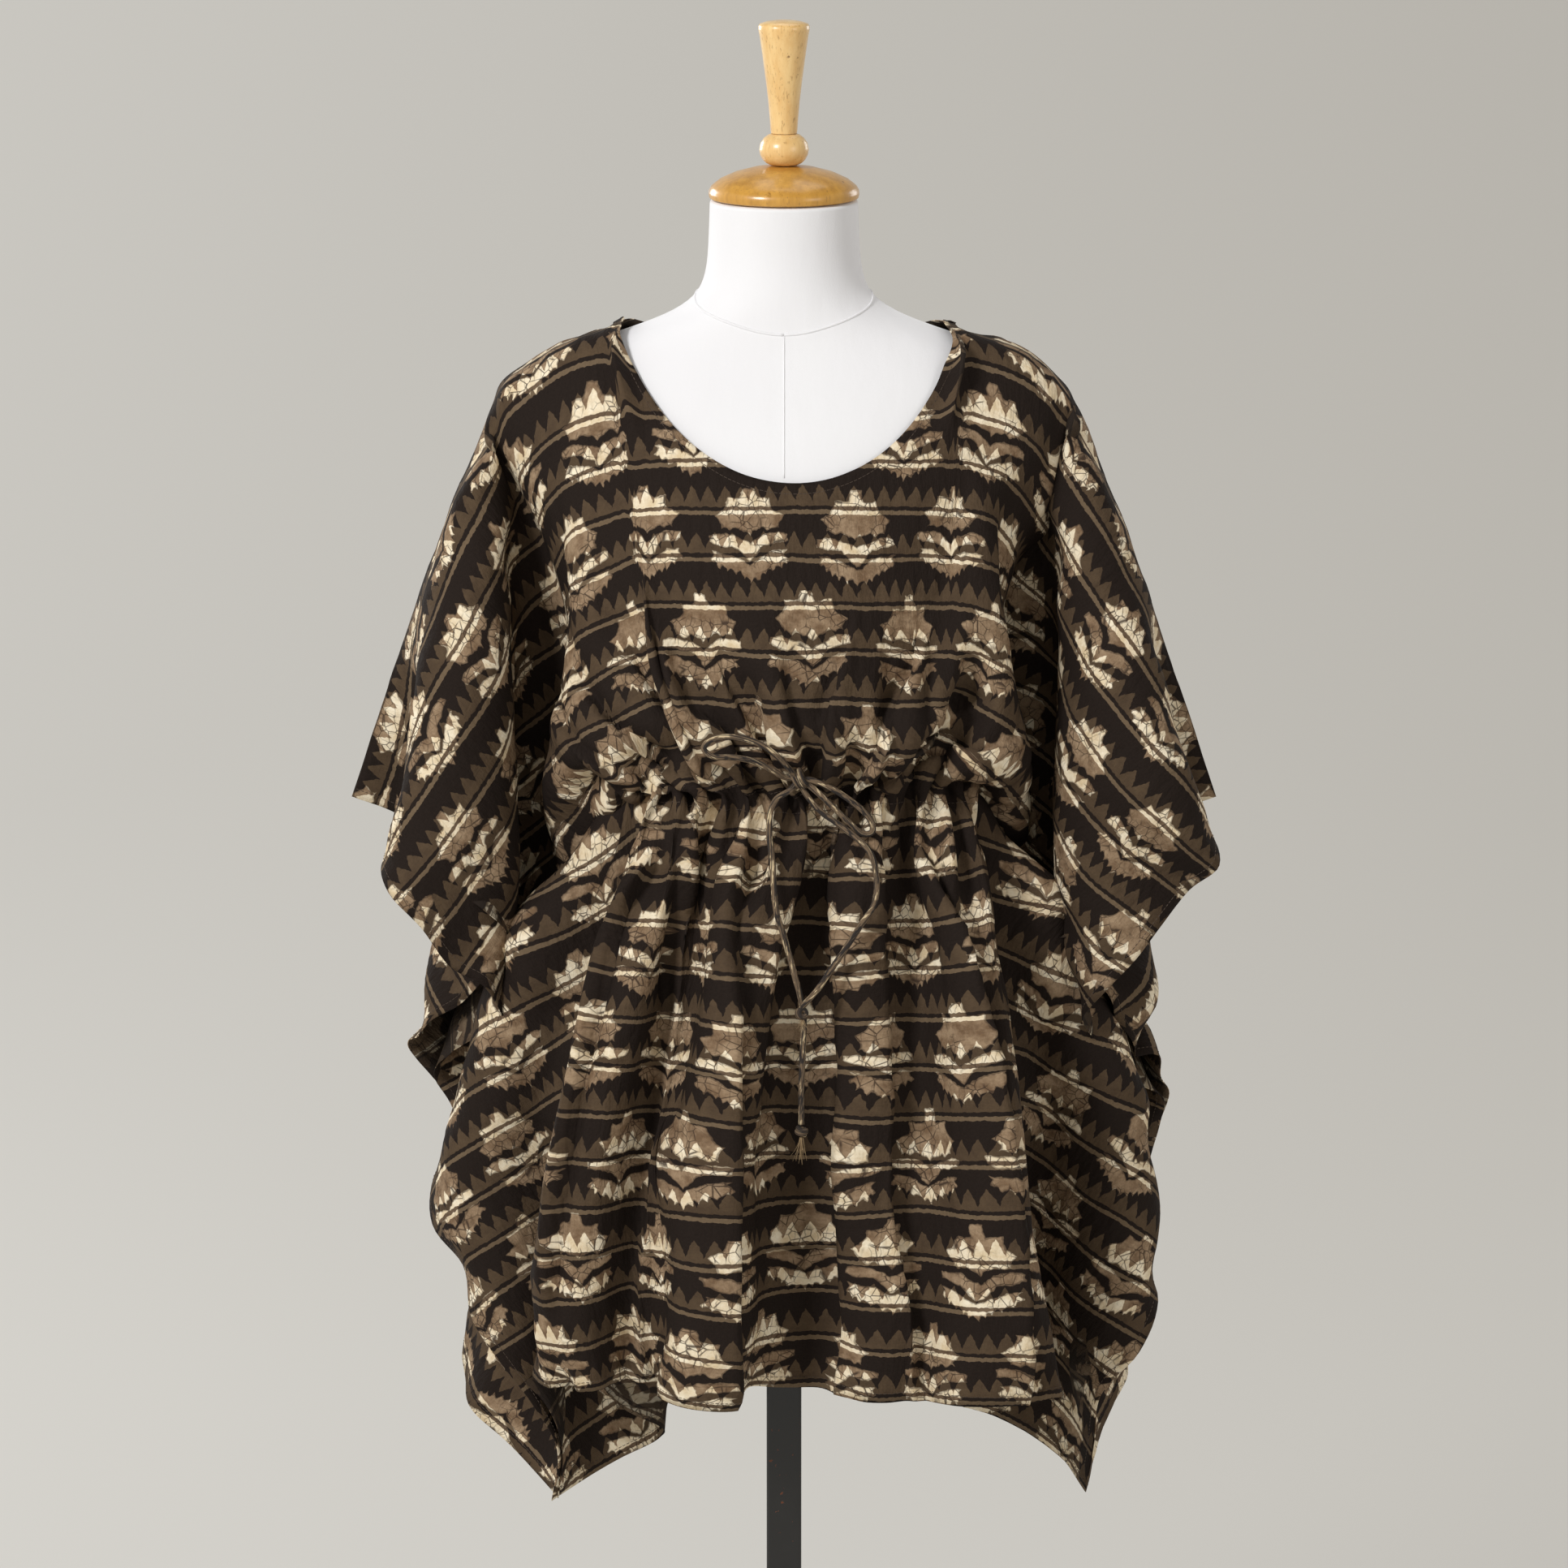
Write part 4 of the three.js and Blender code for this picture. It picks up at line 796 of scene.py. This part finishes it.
# The dress form: a padded, limbless torso under a white stretched jersey cover, with a
# collar seam round the foot of the neck and a seam down the middle of its front.
bpy.ops.object.select_all(action="DESELECT")
cover = nodes["form_torso"].copy()
cover.data = nodes["form_torso"].data.copy()
cover.name = cover.data.name = "form_torso_cover"
cover.parent = None
for key in list(cover.keys()):
    del cover[key]
bpy.context.scene.collection.objects.link(cover)
cover.select_set(True)
bpy.context.view_layer.objects.active = cover
bpy.ops.object.mode_set(mode="EDIT")
bpy.ops.mesh.select_all(action="SELECT")
bpy.ops.mesh.remove_doubles(threshold=1e-5)
bpy.ops.mesh.tris_convert_to_quads(face_threshold=0.7, shape_threshold=0.9)
bpy.ops.object.mode_set(mode="OBJECT")
softened = cover.modifiers.new("softened", "SUBSURF")
softened.levels = softened.render_levels = 2
bpy.ops.object.modifier_apply(modifier="softened")
bpy.ops.object.shade_smooth()
jersey, tree, shader = new_material("form_jersey", 0.92, 0.25)
object_place = tree.nodes.new("ShaderNodeTexCoord").outputs["Object"]
tint = noise_field(tree, object_place, 6.0, 2.0)
shade = mixed(tree, "efeff1", "e8e7ea", tint.above(0.5, 0.5))
tree.links.new(shade, shader.inputs["Base Color"])
knit = noise_field(tree, stretched(tree, object_place, (900.0, 900.0, 500.0)), 1.0, 2.0)
wale = noise_field(tree, stretched(tree, object_place, (90.0, 90.0, 18.0)), 1.0, 3.0)
bumped(tree, shader, knit * 0.25 + wale, 0.3, 0.0012)
cover.data.materials.clear()
cover.data.materials.append(jersey)
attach(cover, "root")
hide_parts("form_torso")

torso_shape = BVHTree.FromPolygons([v.co for v in cover.data.vertices],
                                   [tuple(p.vertices) for p in cover.data.polygons])


def on_cover(angle, height):
    """The cover's surface at a height, straight out from the form's middle."""
    out = Vector((math.sin(angle), -math.cos(angle), 0.0))
    start = Vector((0.0, -0.006, height)) + out * 0.4
    return torso_shape.ray_cast(start, -out)[0]


# The collar seam dips at the front and rises a little at the back. The front seam starts
# just under it and runs down past the neckline.
collar_level, front_dip, back_rise = 1.4115, 0.0305, 0.004
collar_points, front_points, front_step = 120, 25, 0.004
collar_route = []
for k in range(collar_points + 1):
    angle = 2 * math.pi * k / collar_points
    height = collar_level - front_dip * max(math.cos(angle), 0.0) ** 1.4
    height += back_rise * max(-math.cos(angle), 0.0)
    collar_route.append(on_cover(angle, height))
front_top = collar_level - front_dip - 0.0005
front_route = [on_cover(0.0, front_top - front_step * k) for k in range(front_points)]
for name, route, radius in (("form_collar_seam", collar_route, 0.0009),
                            ("form_front_seam", front_route, 0.0006)):
    seam = rolled_tube(name, route, radius, 0.0, 8)
    seam.data.materials.append(jersey)
    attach(seam, "root")

# The form's head: a domed wooden cap, a ball and a turned handle, lacquered honey yellow.
# All three are turned on one axis, which leans forward with the neck's top. Each profile
# gives (radius, height) in millimetres above its own foot on that axis.
head_lean = 0.155
head_place = Matrix.Translation((0.0, -0.015, 1.475)) @ Matrix.Rotation(head_lean, 4, "X")
profiles = {
    "neck_cap": (0.0, [(0, 0.3), (50.3, 0.3), (52.0, 1.1), (52.5, 3.4), (52.3, 6.0), (50.6, 8.8),
                       (45, 13.2), (35, 17.7), (22, 21.2), (10, 22.7), (0, 23)]),
    "head_ball": (23.3, [(0, 0), (9.5, 0), (12.4, 1.4), (14.9, 3.8), (16.6, 7), (17.2, 10.6),
                         (16.3, 15), (13.9, 18.6), (11.0, 20.7), (8.8, 21.6), (0, 21.6)]),
    "head_handle": (45.2, [(0, 0), (9, 0), (9.3, 2), (9.7, 8), (10.9, 22), (12.6, 36), (14.6, 51),
                           (16.6, 65), (17.6, 70.4), (17.7, 72.6), (16.6, 74.4), (12, 75.9),
                           (6, 76.7), (0, 76.9)]),
}
for name, (foot, profile) in profiles.items():
    mesh = bpy.data.meshes.new(name + "_turned")
    points = [(r / 1000, 0.0, (z + foot) / 1000) for r, z in profile]
    mesh.from_pydata(points, [(k, k + 1) for k in range(len(points) - 1)], [])
    piece = bpy.data.objects.new(name + "_turned", mesh)
    bpy.context.scene.collection.objects.link(piece)
    bpy.ops.object.select_all(action="DESELECT")
    piece.select_set(True)
    bpy.context.view_layer.objects.active = piece
    bpy.ops.object.mode_set(mode="EDIT")
    bpy.ops.mesh.select_all(action="SELECT")
    bpy.ops.mesh.spin(steps=96, angle=2 * math.pi, center=(0, 0, 0), axis=(0, 0, 1))
    bpy.ops.mesh.select_all(action="SELECT")
    bpy.ops.mesh.remove_doubles(threshold=1e-5)
    bpy.ops.mesh.normals_make_consistent(inside=False)
    bpy.ops.object.mode_set(mode="OBJECT")
    piece.data.transform(head_place)
    bpy.ops.object.shade_smooth_by_angle(angle=math.radians(50))
    deep, pale = ("ab782c", "dba54a") if name == "neck_cap" else ("dba962", "f6d496")
    wood, tree, shader = new_material(name + "_lacquer", 0.33)
    shader.inputs["Coat Weight"].default_value = 0.45
    shader.inputs["Coat Roughness"].default_value = 0.16
    place = tree.nodes.new("ShaderNodeTexCoord").outputs["Object"]
    turn = tree.nodes.new("ShaderNodeMapping")
    turn.inputs["Location"].default_value = (0.021, 0.03, -0.2)
    turn.inputs["Scale"].default_value = (150.0, 150.0, 11.0)
    tree.links.new(place, turn.inputs["Vector"])
    grain = noise_field(tree, turn.outputs["Vector"], 1.0, 4.0, 0.65)
    broad = noise_field(tree, stretched(tree, place, (42.0, 42.0, 7.0)), 1.0, 2.0)
    streaks = grain.above(0.52, 0.35)
    color = mixed(tree, pale, deep, streaks * 0.55 + broad * 0.35)
    pores = noise_field(tree, stretched(tree, place, (900.0, 900.0, 60.0)), 1.0, 2.0)
    color = mixed(tree, color, "8a6030", pores.above(0.66, 0.1) * 0.5)
    dents = noise_field(tree, place, 130.0, 2.0)
    color = mixed(tree, color, "6b4114", dents.above(0.74, 0.03) * 0.7)
    tree.links.new(color, shader.inputs["Base Color"])
    bumped(tree, shader, grain * 0.25 + dents.above(0.72, 0.08) * -0.8, 0.35, 0.0005)
    piece.data.materials.append(wood)
    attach(piece, "root")
    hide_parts(name)

# The stand: a square steel tube in a collar on a round floor plate, painted black, with a
# few specks of rust where the paint has been knocked.
painted, tree, shader = new_material("black_paint", 0.42)
shader.inputs["Coat Weight"].default_value = 0.2
place = tree.nodes.new("ShaderNodeTexCoord").outputs["Object"]
wear = noise_field(tree, place, 55.0, 4.0, 0.6)
peel = noise_field(tree, place, 700.0, 2.0)
rust = noise_field(tree, place, 190.0, 3.0, 0.7).above(0.69, 0.04)
color = mixed(tree, "100f0e", "1d1b19", wear)
color = mixed(tree, color, "6a3a20", rust)
tree.links.new(color, shader.inputs["Base Color"])
tree.links.new((rust * 0.4 + wear * 0.15 + 0.33).socket, shader.inputs["Roughness"])
bumped(tree, shader, peel * 0.5 + rust, 0.2, 0.0004)
for name in ("pole", "pole_collar", "base_plate"):
    nodes[name].data.materials.clear()
    nodes[name].data.materials.append(painted)

# The studio: a seamless sweep of pale grey paper that glows faintly with painted light, paler on
# the left where more light falls, and large soft lights. The main one stands high on the left, a
# weaker one fills from the right.
bpy.ops.object.select_all(action="DESELECT")
sweep_points, sweep_faces = [], []
sweep_sides = 72
outline = [(0.0, 0.0), (1.0, 0.0)]
outline += [(2.2 + 4.2 * math.sin(a), 4.2 - 4.2 * math.cos(a))
            for a in (math.pi / 2 * k / 16 for k in range(17))]
outline += [(6.4, 7.0)]
for k, (r, z) in enumerate(outline):
    for n in range(sweep_sides):
        turn = 2 * math.pi * n / sweep_sides
        sweep_points.append((r * math.cos(turn), r * math.sin(turn), z))
for k in range(len(outline) - 1):
    low, high = k * sweep_sides, (k + 1) * sweep_sides
    for n in range(sweep_sides):
        m = (n + 1) % sweep_sides
        sweep_faces.append((low + n, low + m, high + m, high + n))
sweep_mesh = bpy.data.meshes.new("studio_sweep")
sweep_mesh.from_pydata(sweep_points, [], sweep_faces)
sweep_mesh.polygons.foreach_set("use_smooth", [True] * len(sweep_faces))
sweep = bpy.data.objects.new("studio_sweep", sweep_mesh)
bpy.context.scene.collection.objects.link(sweep)
paper, tree, shader = new_material("studio_paper", 0.95)
shader.inputs["Base Color"].default_value = linear("777775")
sides = tree.nodes.new("ShaderNodeSeparateXYZ")
tree.links.new(tree.nodes.new("ShaderNodeTexCoord").outputs["Object"], sides.inputs[0])
# Painted light: the paper's glow is paler on the left, where more light falls, and brightens the
# scene a little all round.
painted_glow = mixed(tree, "f2efe8", "cdc8bf", Field(tree, sides.outputs[0]).above(0.0, 5.0))
tree.links.new(painted_glow, shader.inputs["Emission Color"])
shader.inputs["Emission Strength"].default_value = 0.58
sweep.data.materials.append(paper)
for name, place, size, power in (("key", (-1.8, -2.3, 2.8), 0.7, 70.0),
                                 ("fill", (2.3, -2.3, 1.9), 1.3, 13.0),
                                 ("top", (0.1, 0.4, 3.4), 1.4, 8.0),
                                 ("back_left", (-2.2, 2.4, 2.2), 1.2, 36.0),
                                 ("back_right", (2.2, 2.2, 2.2), 1.2, 14.0)):
    lamp_data = bpy.data.lights.new(name, "AREA")
    lamp_data.size = size
    lamp_data.energy = power
    lamp = bpy.data.objects.new(name, lamp_data)
    bpy.context.scene.collection.objects.link(lamp)
    lamp.location = place
    lamp.rotation_euler = (Vector((0, 0, 1.05)) - lamp.location).to_track_quat("-Z", "Y").to_euler()
world = bpy.data.worlds.new("studio_air")
bpy.context.scene.world = world
world.use_nodes = True
world.node_tree.nodes["Background"].inputs[0].default_value = (0.80, 0.79, 0.77, 1.0)
world.node_tree.nodes["Background"].inputs[1].default_value = 0.15

bpy.context.scene.view_settings.view_transform = "Standard"
